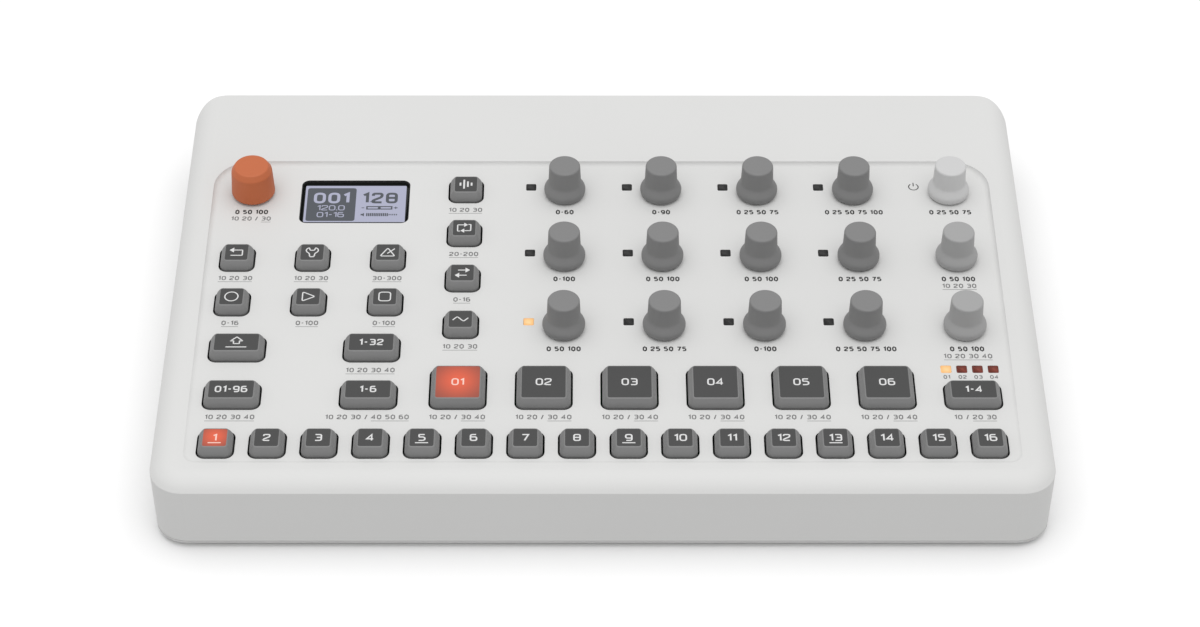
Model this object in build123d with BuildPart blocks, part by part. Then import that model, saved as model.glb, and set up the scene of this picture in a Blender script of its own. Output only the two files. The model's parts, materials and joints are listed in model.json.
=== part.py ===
"""Tabletop groovebox: a low case with step keys, pads, knobs, a display and rear sockets.

Millimetres, X to the right, Y to the rear, Z up, with the table at Z = 0.
"""

import os
from math import cos, radians, sin, tan

from build123d import *

# Numbers of repeated controls
KEY_COLUMNS = 4
KEY_ROWS = 5
KNOB_COLUMNS = 5
KNOB_ROWS = 3
STEP_COUNT = 16
PAD_COUNT = 6
LAMP_COUNT = 4

# Layout from the left side of the case to the right
KEY_MARGIN = 19.35
KEY_COLUMN_PITCH = 23.9
KNOB_COLUMN_GAP = 32.01
KNOB_PITCH = 31.09
KNOB_MARGIN = 22.58
LEVEL_MARGIN = 22.16

# Layout from the front of the case to the rear
STEP_MARGIN = 17.0
KEY_ROW_PITCH = 20.74
KNOB_ROW_OFFSET = 0.15
KNOB_ROW_PITCH = 32.08
MODE_KEY_OFFSET = 0.9
RECESS_REAR_MARGIN = 14.56
RIDGE_DEPTH = 33.75

# Case shell
FOOT_HEIGHT = 2.25
COVER_EDGE = 0.55
PARTING_GAP = 0.2
PANEL_RISE = 24.0
PANEL_THICKNESS = 2.2
CASE_WALL = 2.2
CASE_CORNER_RADIUS = 10.5
DRAFT_ANGLE = 1.0
ROLL_RADIUS = 8.5
ROLL_ANGLE = 55.0
CAVITY_EDGE_RADIUS = 4.0

# Recess that holds the controls: its rim rises towards the rear
RECESS_SIDE_MARGIN = 9.0
RECESS_FRONT_MARGIN = 8.5
RECESS_REAR_RADIUS = 12.5
RECESS_FRONT_RADIUS = 5.0
RECESS_FLOOR_RADIUS = 2.0
RIM_FRONT_STEP = 0.25
RIM_REAR_STEP = 1.45

# Keys and pads
KEY_WIDTH = 10.4
KEY_DEPTH = 10.5
WIDE_KEY_WIDTH = 16.8
PAD_WIDTH = 16.6
PAD_DEPTH = 16.9
KEY_RISE = 3.2
KEY_SIDE_RISE = 1.25
KEY_SLOPE_RUN = 1.35
KEY_CORNER_RADIUS = 2.3
KEY_EDGE_RADIUS = 0.35
KEY_WALL = 1.2
KEY_ROOF = 1.0
KEY_GAP = 0.55
KEY_LIP = 0.9
KEY_FLANGE = 1.0
KEY_SEAT_GAP = 0.3
KEY_TRAVEL = 1.2
WINDOW_BORDER = 0.28
WINDOW_THICKNESS = 1.0
STEM_RADIUS = 1.5
INSERT_FIT = 0.05

# Key switches on the control board
SWITCH_WIDTH = 6.2
SWITCH_HEIGHT = 3.8
SWITCH_BASE = 0.6
SWITCH_CLEARANCE = 0.3

# Knobs
KNOB_HEIGHT = 12.0
KNOB_FOOT_GAP = 0.9
SKIRT_RADIUS = 6.66
SKIRT_WALL_HEIGHT = 1.95
SKIRT_SHOULDER = 0.8
SKIRT_EDGE_RADIUS = 0.4
FLARE_REACH = 8.41
GRIP_RADIUS = 5.01
GRIP_WALL_HEIGHT = 0.74
GRIP_EDGE_RADIUS = 0.65
KNOB_SOCKET_RADIUS = 4.6
KNOB_SOCKET_DEPTH = 2.5
KNOB_CROWN = 2.5

# Push-and-turn level knob
LEVEL_DROP = 0.3
LEVEL_FOOT_RADIUS = 7.0
LEVEL_TOP_RADIUS = 6.55
LEVEL_BEVEL_HEIGHT = 1.9
LEVEL_BEVEL_WIDTH = 1.15
LEVEL_FOOT_GAP = 0.8
LEVEL_TRAVEL = 0.5
DRIVE_WIDTH = 3.6
DRIVE_CLEARANCE = 0.1

# Encoders on the control board
ENCODER_WIDTH = 11.5
ENCODER_HEIGHT = 5.5
ENCODER_FLOOR = 1.0
SHAFT_RADIUS = 3.0
SHAFT_CLEARANCE = 0.06
BUSHING_RADIUS = 3.5
BUSHING_RISE = 1.2
BUSHING_CLEARANCE = 0.2
ROTOR_RADIUS = 4.4
ROTOR_HEIGHT = 3.3
MOVING_GAP = 0.3

# Light guides beside the knobs and above the page key
LAMP_WIDTH = 3.1
LAMP_CORNER_RADIUS = 0.4
LAMP_CLEARANCE = 0.1
LAMP_OFFSET_X = 10.94
LAMP_OFFSET_Y = 3.08
PAGE_LAMP_PITCH = 4.83
PAGE_LAMP_OFFSET = 12.06

# Display
DISPLAY_WIDTH = 35.2
DISPLAY_DEPTH = 21.1
DISPLAY_CORNER_RADIUS = 2.5
DISPLAY_REAR_MARGIN = 8.05
PANE_DROP = 1.0
PANE_CLEARANCE = 0.15
PANE_FLANGE = 1.0
PANE_FLANGE_LIP = 2.0
LCD_LIP = 3.0

# Circuit boards
BOARD_THICKNESS = 1.6
BOARD_DROP = 8.0
BOARD_SIDE_MARGIN = 14.5
BOARD_FRONT_MARGIN = 8.0
BOARD_REAR_RUN = 5.0
BOARD_CORNER_RADIUS = 2.0
SOLDER_GAP = 0.05
POST_RADIUS = 2.5
BOARD_SCREW_RADIUS = 1.0
BOARD_SCREW_CLEARANCE = 0.3
BOARD_SCREW_HEAD_RADIUS = 2.1
BOARD_SCREW_HEAD_HEIGHT = 1.2
BOARD_SCREW_LENGTH = 6.0
SOCKET_BOARD_RISE = 1.2
SOCKET_BOARD_MARGIN = 12.0
LINK_WIDTH = 30.0
LINK_DEPTH = 4.0

# Bottom cover, its screws and its feet
COVER_PLATEAU = 1.85
COVER_CLEARANCE = 0.25
CASE_SCREW_MARGIN = 8.0
CASE_SCREW_END_MARGIN = 12.0
CASE_SCREW_ROWS = 4
BOSS_RADIUS = 3.2
SCREW_RADIUS = 1.3
SCREW_THREAD_FIT = 0.05
SCREW_CLEARANCE = 0.3
SCREW_HEAD_RADIUS = 2.6
SCREW_HEAD_HEIGHT = 1.3
SCREW_HEAD_DROP = 0.2
SCREW_LENGTH = 10.0
SCREW_SOCKET_WIDTH = 1.9
SCREW_SOCKET_DEPTH = 0.8
FOOT_RADIUS = 6.0
FOOT_RECESS = 0.6
FOOT_EDGE_RADIUS = 0.8
FOOT_MARGIN = 22.0
PLATE_HOLE_SPACING = 100.0
PLATE_HOLE_RADIUS = 1.65
PLATE_HOLE_DEPTH = 7.0
PLATE_BOSS_RADIUS = 4.0
PLATE_BOSS_FLOOR = 1.2

# Rear sockets, from the right side of the case to the left
SWITCH_MARGIN = 33.6
SWITCH_TO_INLET = 19.0
INLET_TO_USB = 17.0
USB_TO_MINI = 20.0
MINI_PITCH = 16.0
MINI_TO_AUDIO = 36.0
AUDIO_PITCH = 22.0
AUDIO_TO_PHONES = 40.0
SOCKET_FACE_DROP = 0.3
SOCKET_CLEARANCE = 0.2
SOCKET_CORNER_RADIUS = 1.2
JACK_HEIGHT = 12.0
JACK_WIDTH = 15.0
JACK_DEPTH = 24.0
JACK_BORE_RADIUS = 3.25
JACK_BORE_DEPTH = 22.0
MINI_WIDTH = 9.0
MINI_DEPTH = 14.0
MINI_BORE_RADIUS = 1.8
MINI_BORE_DEPTH = 12.5
INLET_WIDTH = 10.0
INLET_DEPTH = 14.0
INLET_BORE_RADIUS = 2.9
INLET_BORE_DEPTH = 10.0
INLET_PIN_RADIUS = 1.05
USB_WIDTH = 10.0
USB_HEIGHT = 5.0
USB_DEPTH = 8.0
USB_SLOT_WIDTH = 7.4
USB_SLOT_HEIGHT = 2.6
USB_SLOT_DEPTH = 6.0
USB_TONGUE_HEIGHT = 0.7
USB_TONGUE_CLEARANCE = 0.8
TOGGLE_BODY_WIDTH = 14.0
TOGGLE_BODY_HEIGHT = 8.0
TOGGLE_BODY_DEPTH = 8.0
TOGGLE_DROP = 3.4
TOGGLE_WIDTH = 3.4
TOGGLE_HEIGHT = 3.4
TOGGLE_TRAVEL = 3.0
TOGGLE_SEAT = 3.0
TOGGLE_TIP_DROP = 0.4

# Overall size and control positions that follow from the layout
case_width = (
    KEY_MARGIN
    + (KEY_COLUMNS - 1) * KEY_COLUMN_PITCH
    + KNOB_COLUMN_GAP
    + (KNOB_COLUMNS - 1) * KNOB_PITCH
    + KNOB_MARGIN
)
case_depth = (
    STEP_MARGIN
    + (KEY_ROWS - 1) * KEY_ROW_PITCH
    + KNOB_ROW_OFFSET
    + KNOB_ROW_PITCH
    + RECESS_REAR_MARGIN
    + RIDGE_DEPTH
)
right_x = case_width / 2
left_x = -right_x
rear_y = case_depth / 2
front_y = -rear_y
key_xs = [left_x + KEY_MARGIN + i * KEY_COLUMN_PITCH for i in range(KEY_COLUMNS)]
knob_xs = [
    right_x - KNOB_MARGIN - (KNOB_COLUMNS - 1 - i) * KNOB_PITCH
    for i in range(KNOB_COLUMNS)
]
key_ys = [front_y + STEP_MARGIN + i * KEY_ROW_PITCH for i in range(KEY_ROWS)]
knob_ys = [key_ys[-1] + KNOB_ROW_OFFSET + (1 - i) * KNOB_ROW_PITCH for i in range(KNOB_ROWS)]
step_pitch = (case_width - 2 * KEY_MARGIN) / (STEP_COUNT - 1)
pad_pitch = (knob_xs[-1] - key_xs[-1]) / PAD_COUNT
pad_y = key_ys[1] + (PAD_DEPTH - KEY_DEPTH) / 2
wide_left_x = key_xs[0] + (WIDE_KEY_WIDTH - KEY_WIDTH) / 2
wide_right_x = key_xs[2] - (WIDE_KEY_WIDTH - KEY_WIDTH) / 2
recess_rear_y = knob_ys[0] + RECESS_REAR_MARGIN
recess_front_y = front_y + RECESS_FRONT_MARGIN
display_x = (key_xs[1] + key_xs[2]) / 2
display_y = recess_rear_y - DISPLAY_REAR_MARGIN - DISPLAY_DEPTH / 2
level_point = (left_x + LEVEL_MARGIN, knob_ys[0])
mode_key_y = knob_ys[0] + MODE_KEY_OFFSET
mode_key_pitch = (knob_ys[0] - knob_ys[-1]) / (KEY_COLUMNS - 1)

# Heights above the table
cover_edge_z = FOOT_HEIGHT + COVER_EDGE
wall_foot_z = cover_edge_z + PARTING_GAP
cover_top_z = wall_foot_z + COVER_PLATEAU
panel_z = wall_foot_z + PANEL_RISE
panel_under_z = panel_z - PANEL_THICKNESS
rim_front_z = panel_z + RIM_FRONT_STEP
rim_rear_z = panel_z + RIM_REAR_STEP
rim_slope = (rim_rear_z - rim_front_z) / (recess_rear_y - recess_front_y)
roll_run = ROLL_RADIUS * sin(radians(ROLL_ANGLE))
roll_drop = ROLL_RADIUS * (1 - cos(radians(ROLL_ANGLE)))
crease_z = rim_front_z - roll_drop
draft_run = (crease_z - wall_foot_z) * tan(radians(DRAFT_ANGLE))
board_z = panel_under_z - BOARD_DROP
key_top_z = panel_z + KEY_RISE
slope_foot_z = panel_z + KEY_SIDE_RISE
key_flange_z = panel_under_z - KEY_SEAT_GAP
key_foot_z = key_flange_z - KEY_FLANGE
key_roof_z = key_top_z - WINDOW_THICKNESS - KEY_ROOF
stem_foot_z = board_z + SWITCH_BASE + KEY_TRAVEL + MOVING_GAP
bushing_top_z = panel_z + BUSHING_RISE
shaft_foot_z = board_z + ENCODER_FLOOR + MOVING_GAP
knob_top_z = panel_z + KNOB_HEIGHT
shaft_top_z = knob_top_z - KNOB_CROWN - INSERT_FIT
socket_board_z = cover_top_z + SOCKET_BOARD_RISE + BOARD_THICKNESS
socket_base_z = socket_board_z + SOLDER_GAP
jack_z = socket_base_z + JACK_HEIGHT / 2

# Plan sizes of the shell and the boards
base_width = case_width - 2 * draft_run
base_depth = case_depth - 2 * draft_run
base_radius = CASE_CORNER_RADIUS - draft_run
cavity_width = base_width - 2 * CASE_WALL
cavity_depth = base_depth - 2 * CASE_WALL
cavity_radius = base_radius - CASE_WALL
board_width = case_width - 2 * BOARD_SIDE_MARGIN
board_front_y = front_y + BOARD_FRONT_MARGIN
board_rear_y = recess_rear_y + BOARD_REAR_RUN
board_mid_y = (board_front_y + board_rear_y) / 2
socket_face_y = rear_y - (crease_z - jack_z) * tan(radians(DRAFT_ANGLE)) - SOCKET_FACE_DROP
socket_board_front_y = board_rear_y - LINK_DEPTH - 2 * MOVING_GAP
socket_board_rear_y = base_depth / 2 - CASE_WALL - COVER_CLEARANCE

# Places of screws, posts, feet and sockets
case_screw_pitch = (case_depth - 2 * CASE_SCREW_END_MARGIN) / (CASE_SCREW_ROWS - 1)
case_screw_points = [
    (side * (right_x - CASE_SCREW_MARGIN), front_y + CASE_SCREW_END_MARGIN + i * case_screw_pitch)
    for side in (-1, 1)
    for i in range(CASE_SCREW_ROWS)
]
foot_points = [
    (sx * (right_x - FOOT_MARGIN), sy * (rear_y - FOOT_MARGIN)) for sx in (-1, 1) for sy in (-1, 1)
]
post_front_y = (key_ys[0] + key_ys[1]) / 2
post_rear_y = (knob_ys[0] + knob_ys[1]) / 2
post_points = [
    ((key_xs[0] + key_xs[1]) / 2, post_front_y),
    ((knob_xs[0] + knob_xs[1]) / 2, post_front_y),
    ((knob_xs[3] + knob_xs[4]) / 2, post_front_y),
    (key_xs[0], post_rear_y),
    ((key_xs[3] + knob_xs[0]) / 2, post_rear_y),
    ((knob_xs[1] + knob_xs[2]) / 2, post_rear_y),
    ((knob_xs[3] + knob_xs[4]) / 2, post_rear_y),
]
toggle_x = right_x - SWITCH_MARGIN
inlet_x = toggle_x - SWITCH_TO_INLET
usb_x = inlet_x - INLET_TO_USB
mini_xs = [usb_x - USB_TO_MINI, usb_x - USB_TO_MINI - MINI_PITCH]
audio_right_x = mini_xs[1] - MINI_TO_AUDIO
jack_xs = [audio_right_x, audio_right_x - AUDIO_PITCH, audio_right_x - AUDIO_PITCH - AUDIO_TO_PHONES]
toggle_z = socket_base_z + TOGGLE_BODY_HEIGHT / 2
usb_z = socket_base_z + USB_HEIGHT / 2
socket_board_left_x = jack_xs[-1] - SOCKET_BOARD_MARGIN
socket_board_right_x = toggle_x + SOCKET_BOARD_MARGIN
socket_board_width = socket_board_right_x - socket_board_left_x
socket_board_depth = socket_board_rear_y - socket_board_front_y
socket_board_mid = (
    (socket_board_left_x + socket_board_right_x) / 2,
    (socket_board_front_y + socket_board_rear_y) / 2,
)
link_y = board_rear_y - LINK_DEPTH / 2
socket_post_inset = POST_RADIUS + BOARD_SCREW_HEAD_RADIUS
socket_post_points = [
    (socket_board_mid[0] + sx * (socket_board_width / 2 - socket_post_inset), socket_board_front_y + socket_post_inset)
    for sx in (-1, 1)
]

# Every key with its place and plan size
step_keys = [
    (f"step_key_{i + 1:02d}", left_x + KEY_MARGIN + i * step_pitch, key_ys[0], KEY_WIDTH, KEY_DEPTH)
    for i in range(STEP_COUNT)
]
pads = [
    (f"pad_{i + 1}", key_xs[-1] + i * pad_pitch, pad_y, PAD_WIDTH, PAD_DEPTH) for i in range(PAD_COUNT)
]
small_keys = [
    ("back_key", key_xs[0], key_ys[4], KEY_WIDTH, KEY_DEPTH),
    ("save_key", key_xs[1], key_ys[4], KEY_WIDTH, KEY_DEPTH),
    ("tempo_key", key_xs[2], key_ys[4], KEY_WIDTH, KEY_DEPTH),
    ("record_key", key_xs[0], key_ys[3], KEY_WIDTH, KEY_DEPTH),
    ("play_key", key_xs[1], key_ys[3], KEY_WIDTH, KEY_DEPTH),
    ("stop_key", key_xs[2], key_ys[3], KEY_WIDTH, KEY_DEPTH),
]
mode_keys = [
    (f"mode_key_{i + 1}", key_xs[3], mode_key_y - i * mode_key_pitch, KEY_WIDTH, KEY_DEPTH)
    for i in range(KEY_COLUMNS)
]
wide_keys = [
    ("shift_key", wide_left_x, key_ys[2], WIDE_KEY_WIDTH, KEY_DEPTH),
    ("repeat_key", wide_right_x, key_ys[2], WIDE_KEY_WIDTH, KEY_DEPTH),
    ("pattern_key", wide_left_x, key_ys[1], WIDE_KEY_WIDTH, KEY_DEPTH),
    ("track_key", wide_right_x, key_ys[1], WIDE_KEY_WIDTH, KEY_DEPTH),
    ("page_key", knob_xs[-1], key_ys[1], WIDE_KEY_WIDTH, KEY_DEPTH),
]
keys = step_keys + pads + small_keys + mode_keys + wide_keys
key_points = [(x, y) for _, x, y, _, _ in keys]

# Every turning knob with its place
knobs = [
    (f"parameter_knob_{row * (KNOB_COLUMNS - 1) + col + 1:02d}", knob_xs[col], knob_ys[row])
    for row in range(KNOB_ROWS)
    for col in range(KNOB_COLUMNS - 1)
]
knobs += [
    ("volume_knob", knob_xs[-1], knob_ys[0]),
    ("effect_knob_1", knob_xs[-1], knob_ys[1]),
    ("effect_knob_2", knob_xs[-1], knob_ys[2]),
]
knob_points = [(x, y) for _, x, y in knobs]

# Light guides: one beside each parameter knob and a row above the page key
lamp_points = [
    (knob_xs[col] - LAMP_OFFSET_X, knob_ys[row] + LAMP_OFFSET_Y)
    for row in range(KNOB_ROWS)
    for col in range(KNOB_COLUMNS - 1)
]
lamp_points += [
    (knob_xs[-1] + (i - (LAMP_COUNT - 1) / 2) * PAGE_LAMP_PITCH, key_ys[1] + PAGE_LAMP_OFFSET)
    for i in range(LAMP_COUNT)
]

os.makedirs("parts", exist_ok=True)


def save(builder: BuildPart, label: str) -> None:
    """Label a finished sub-part and write it to its own file."""
    builder.part.label = label
    export_step(builder.part, f"parts/{label}.step")


# Outer limits of the shell: drafted walls up to the crease, straight above it
with BuildPart() as outline_block:
    with BuildSketch(Plane.XY.offset(crease_z)):
        RectangleRounded(case_width, case_depth, CASE_CORNER_RADIUS)
    extrude(amount=crease_z - wall_foot_z, dir=(0, 0, -1), taper=DRAFT_ANGLE)
    with BuildSketch(Plane.XY.offset(crease_z)):
        RectangleRounded(case_width, case_depth, CASE_CORNER_RADIUS)
    extrude(amount=PANEL_RISE)

# Room taken by the recess, with a round edge along its floor
with BuildPart() as recess_block:
    with BuildSketch(Plane.XY.offset(panel_z)) as recess_outline:
        with Locations((0, (recess_front_y + recess_rear_y) / 2)):
            Rectangle(case_width - 2 * RECESS_SIDE_MARGIN, recess_rear_y - recess_front_y)
        fillet(recess_outline.vertices().group_by(Axis.Y)[-1], RECESS_REAR_RADIUS)
        fillet(recess_outline.vertices().group_by(Axis.Y)[0], RECESS_FRONT_RADIUS)
    extrude(amount=PANEL_RISE)
    fillet(recess_block.edges().group_by(Axis.Z)[0], RECESS_FLOOR_RADIUS)

# Room inside the shell
with BuildPart() as cavity_block:
    with BuildSketch(Plane.XY.offset(wall_foot_z)):
        RectangleRounded(cavity_width, cavity_depth, cavity_radius)
    extrude(amount=panel_under_z - wall_foot_z)
    fillet(cavity_block.faces().sort_by(Axis.Z)[-1].edges(), CAVITY_EDGE_RADIUS)

# Top case: its top edge is rolled along the front and the sides, and crisp along the rear
crown_spread = ROLL_RADIUS - roll_run
crown_width = case_width + 2 * crown_spread
crown_radius = CASE_CORNER_RADIUS + crown_spread
crown_front_y = front_y - crown_spread
crown_rear_y = rear_y + crown_radius
crown_front_z = rim_front_z + (crown_front_y - recess_front_y) * rim_slope
crown_rear_z = rim_front_z + (crown_rear_y - recess_front_y) * rim_slope
with BuildPart() as top_case:
    with BuildSketch(Plane.XY.offset(wall_foot_z)):
        with Locations((0, (crown_front_y + crown_rear_y) / 2)):
            RectangleRounded(crown_width, crown_rear_y - crown_front_y, crown_radius)
    extrude(amount=2 * PANEL_RISE)
    with BuildSketch(Plane.YZ):
        with BuildLine():
            Polyline(
                (crown_front_y, crown_front_z),
                (crown_rear_y, crown_rear_z),
                (crown_rear_y, wall_foot_z + 2 * PANEL_RISE),
                (crown_front_y, wall_foot_z + 2 * PANEL_RISE),
                close=True,
            )
        make_face()
    extrude(amount=crown_width, both=True, mode=Mode.SUBTRACT)
    fillet(top_case.faces().sort_by(Axis.Z)[-1].edges(), ROLL_RADIUS)
    add(outline_block.part, mode=Mode.INTERSECT)
    add(recess_block.part, mode=Mode.SUBTRACT)
    add(cavity_block.part, mode=Mode.SUBTRACT)
    # Thinned roof under the rear ridge
    with BuildSketch(Plane.XY.offset(panel_under_z)):
        with Locations((0, (recess_rear_y + PANEL_THICKNESS + rear_y - roll_run) / 2)):
            Rectangle(board_width, rear_y - roll_run - recess_rear_y - PANEL_THICKNESS)
    extrude(amount=RIM_REAR_STEP, mode=Mode.SUBTRACT)
    # Bosses for the case screws and posts for the control board
    with BuildSketch(Plane.XY.offset(cover_top_z)):
        with Locations(*case_screw_points):
            Circle(BOSS_RADIUS)
    extrude(amount=panel_under_z - cover_top_z)
    with BuildSketch(Plane.XY.offset(board_z)):
        with Locations(*post_points):
            Circle(POST_RADIUS)
    extrude(amount=panel_under_z - board_z)
    with BuildSketch(Plane.XY.offset(cover_top_z)):
        with Locations(*case_screw_points):
            Circle(SCREW_RADIUS + SCREW_THREAD_FIT)
    extrude(amount=SCREW_LENGTH + MOVING_GAP, mode=Mode.SUBTRACT)
    with BuildSketch(Plane.XY.offset(board_z)):
        with Locations(*post_points):
            Circle(BOARD_SCREW_RADIUS + SCREW_THREAD_FIT)
    extrude(amount=BOARD_SCREW_LENGTH, mode=Mode.SUBTRACT)
    # Openings in the panel for keys, encoder bushings, light guides and the display
    with BuildSketch(Plane.XY.offset(panel_under_z)):
        for _, x, y, width, depth in keys:
            with Locations((x, y)):
                RectangleRounded(width + 2 * KEY_GAP, depth + 2 * KEY_GAP, KEY_CORNER_RADIUS + KEY_GAP)
        with Locations(*knob_points, level_point):
            Circle(BUSHING_RADIUS + BUSHING_CLEARANCE)
        with Locations(*lamp_points):
            RectangleRounded(
                LAMP_WIDTH + 2 * LAMP_CLEARANCE,
                LAMP_WIDTH + 2 * LAMP_CLEARANCE,
                LAMP_CORNER_RADIUS + LAMP_CLEARANCE,
            )
        with Locations((display_x, display_y)):
            RectangleRounded(DISPLAY_WIDTH, DISPLAY_DEPTH, DISPLAY_CORNER_RADIUS)
    extrude(amount=2 * PANEL_THICKNESS, mode=Mode.SUBTRACT)
    # Openings in the rear wall for the sockets
    with BuildSketch(Plane.XZ.offset(2 * CASE_WALL - rear_y)):
        with Locations(*[(x, jack_z) for x in jack_xs]):
            RectangleRounded(
                JACK_WIDTH + 2 * SOCKET_CLEARANCE, JACK_HEIGHT + 2 * SOCKET_CLEARANCE, SOCKET_CORNER_RADIUS
            )
        with Locations(*[(x, jack_z) for x in mini_xs]):
            RectangleRounded(
                MINI_WIDTH + 2 * SOCKET_CLEARANCE, JACK_HEIGHT + 2 * SOCKET_CLEARANCE, SOCKET_CORNER_RADIUS
            )
        with Locations((inlet_x, jack_z)):
            RectangleRounded(
                INLET_WIDTH + 2 * SOCKET_CLEARANCE, JACK_HEIGHT + 2 * SOCKET_CLEARANCE, SOCKET_CORNER_RADIUS
            )
        with Locations((usb_x, usb_z)):
            RectangleRounded(
                USB_WIDTH + 2 * SOCKET_CLEARANCE, USB_HEIGHT + 2 * SOCKET_CLEARANCE, SOCKET_CORNER_RADIUS
            )
        with Locations((toggle_x, toggle_z)):
            RectangleRounded(TOGGLE_BODY_WIDTH, TOGGLE_BODY_HEIGHT, SOCKET_CORNER_RADIUS)
    extrude(amount=-3 * CASE_WALL, mode=Mode.SUBTRACT)
save(top_case, "top_case")

# Bottom cover with its feet and its case screws
with BuildPart() as bottom_cover:
    with BuildSketch(Plane.XY.offset(FOOT_HEIGHT)):
        RectangleRounded(base_width, base_depth, base_radius)
    extrude(amount=COVER_EDGE)
    with BuildSketch(Plane.XY.offset(cover_edge_z)):
        RectangleRounded(
            cavity_width - 2 * COVER_CLEARANCE,
            cavity_depth - 2 * COVER_CLEARANCE,
            cavity_radius - COVER_CLEARANCE,
        )
    extrude(amount=cover_top_z - cover_edge_z)
    # Threaded bosses for a mounting plate and posts for the socket board
    plate_boss_top_z = FOOT_HEIGHT + PLATE_HOLE_DEPTH + PLATE_BOSS_FLOOR
    with BuildSketch(Plane.XY.offset(cover_top_z)):
        with GridLocations(PLATE_HOLE_SPACING, PLATE_HOLE_SPACING, 2, 2):
            Circle(PLATE_BOSS_RADIUS)
    extrude(amount=plate_boss_top_z - cover_top_z)
    with BuildSketch(Plane.XY.offset(FOOT_HEIGHT)):
        with GridLocations(PLATE_HOLE_SPACING, PLATE_HOLE_SPACING, 2, 2):
            Circle(PLATE_HOLE_RADIUS)
    extrude(amount=PLATE_HOLE_DEPTH, mode=Mode.SUBTRACT)
    with BuildSketch(Plane.XY.offset(cover_top_z)):
        with Locations(*socket_post_points):
            Circle(POST_RADIUS)
    extrude(amount=SOCKET_BOARD_RISE - SOLDER_GAP)
    with BuildSketch(Plane.XY.offset(cover_edge_z)):
        with Locations(*socket_post_points):
            Circle(BOARD_SCREW_RADIUS + SCREW_THREAD_FIT)
    extrude(amount=PANEL_RISE / 2, mode=Mode.SUBTRACT)
    # Holes and head seats of the case screws, and seats of the feet
    screw_seat_z = FOOT_HEIGHT + SCREW_HEAD_DROP + SCREW_HEAD_HEIGHT
    with BuildSketch(Plane.XY.offset(FOOT_HEIGHT)):
        with Locations(*case_screw_points):
            Circle(SCREW_RADIUS + SCREW_CLEARANCE)
    extrude(amount=cover_top_z - FOOT_HEIGHT, mode=Mode.SUBTRACT)
    with BuildSketch(Plane.XY.offset(FOOT_HEIGHT)):
        with Locations(*case_screw_points):
            Circle(SCREW_HEAD_RADIUS + SCREW_CLEARANCE)
    extrude(amount=screw_seat_z - FOOT_HEIGHT, mode=Mode.SUBTRACT)
    with BuildSketch(Plane.XY.offset(FOOT_HEIGHT)):
        with Locations(*foot_points):
            Circle(FOOT_RADIUS + INSERT_FIT)
    extrude(amount=FOOT_RECESS, mode=Mode.SUBTRACT)
    # Case screws with square drive sockets
    screw_head_z = screw_seat_z - INSERT_FIT
    with BuildSketch(Plane.XY.offset(screw_head_z - SCREW_HEAD_HEIGHT)):
        with Locations(*case_screw_points):
            Circle(SCREW_HEAD_RADIUS)
            Rectangle(SCREW_SOCKET_WIDTH, SCREW_SOCKET_WIDTH, mode=Mode.SUBTRACT)
    extrude(amount=SCREW_SOCKET_DEPTH)
    with BuildSketch(Plane.XY.offset(screw_head_z - SCREW_HEAD_HEIGHT + SCREW_SOCKET_DEPTH)):
        with Locations(*case_screw_points):
            Circle(SCREW_HEAD_RADIUS)
    extrude(amount=SCREW_HEAD_HEIGHT - SCREW_SOCKET_DEPTH)
    with BuildSketch(Plane.XY.offset(screw_head_z)):
        with Locations(*case_screw_points):
            Circle(SCREW_RADIUS)
    extrude(amount=cover_top_z + SCREW_LENGTH - screw_head_z)
    # Rubber feet with a round lower edge
    with BuildSketch(Plane.XY):
        with Locations(*foot_points):
            Circle(FOOT_RADIUS)
    extrude(amount=FOOT_HEIGHT + FOOT_RECESS - INSERT_FIT)
    fillet(bottom_cover.edges().group_by(Axis.Z)[0], FOOT_EDGE_RADIUS)
save(bottom_cover, "bottom_cover")

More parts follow.
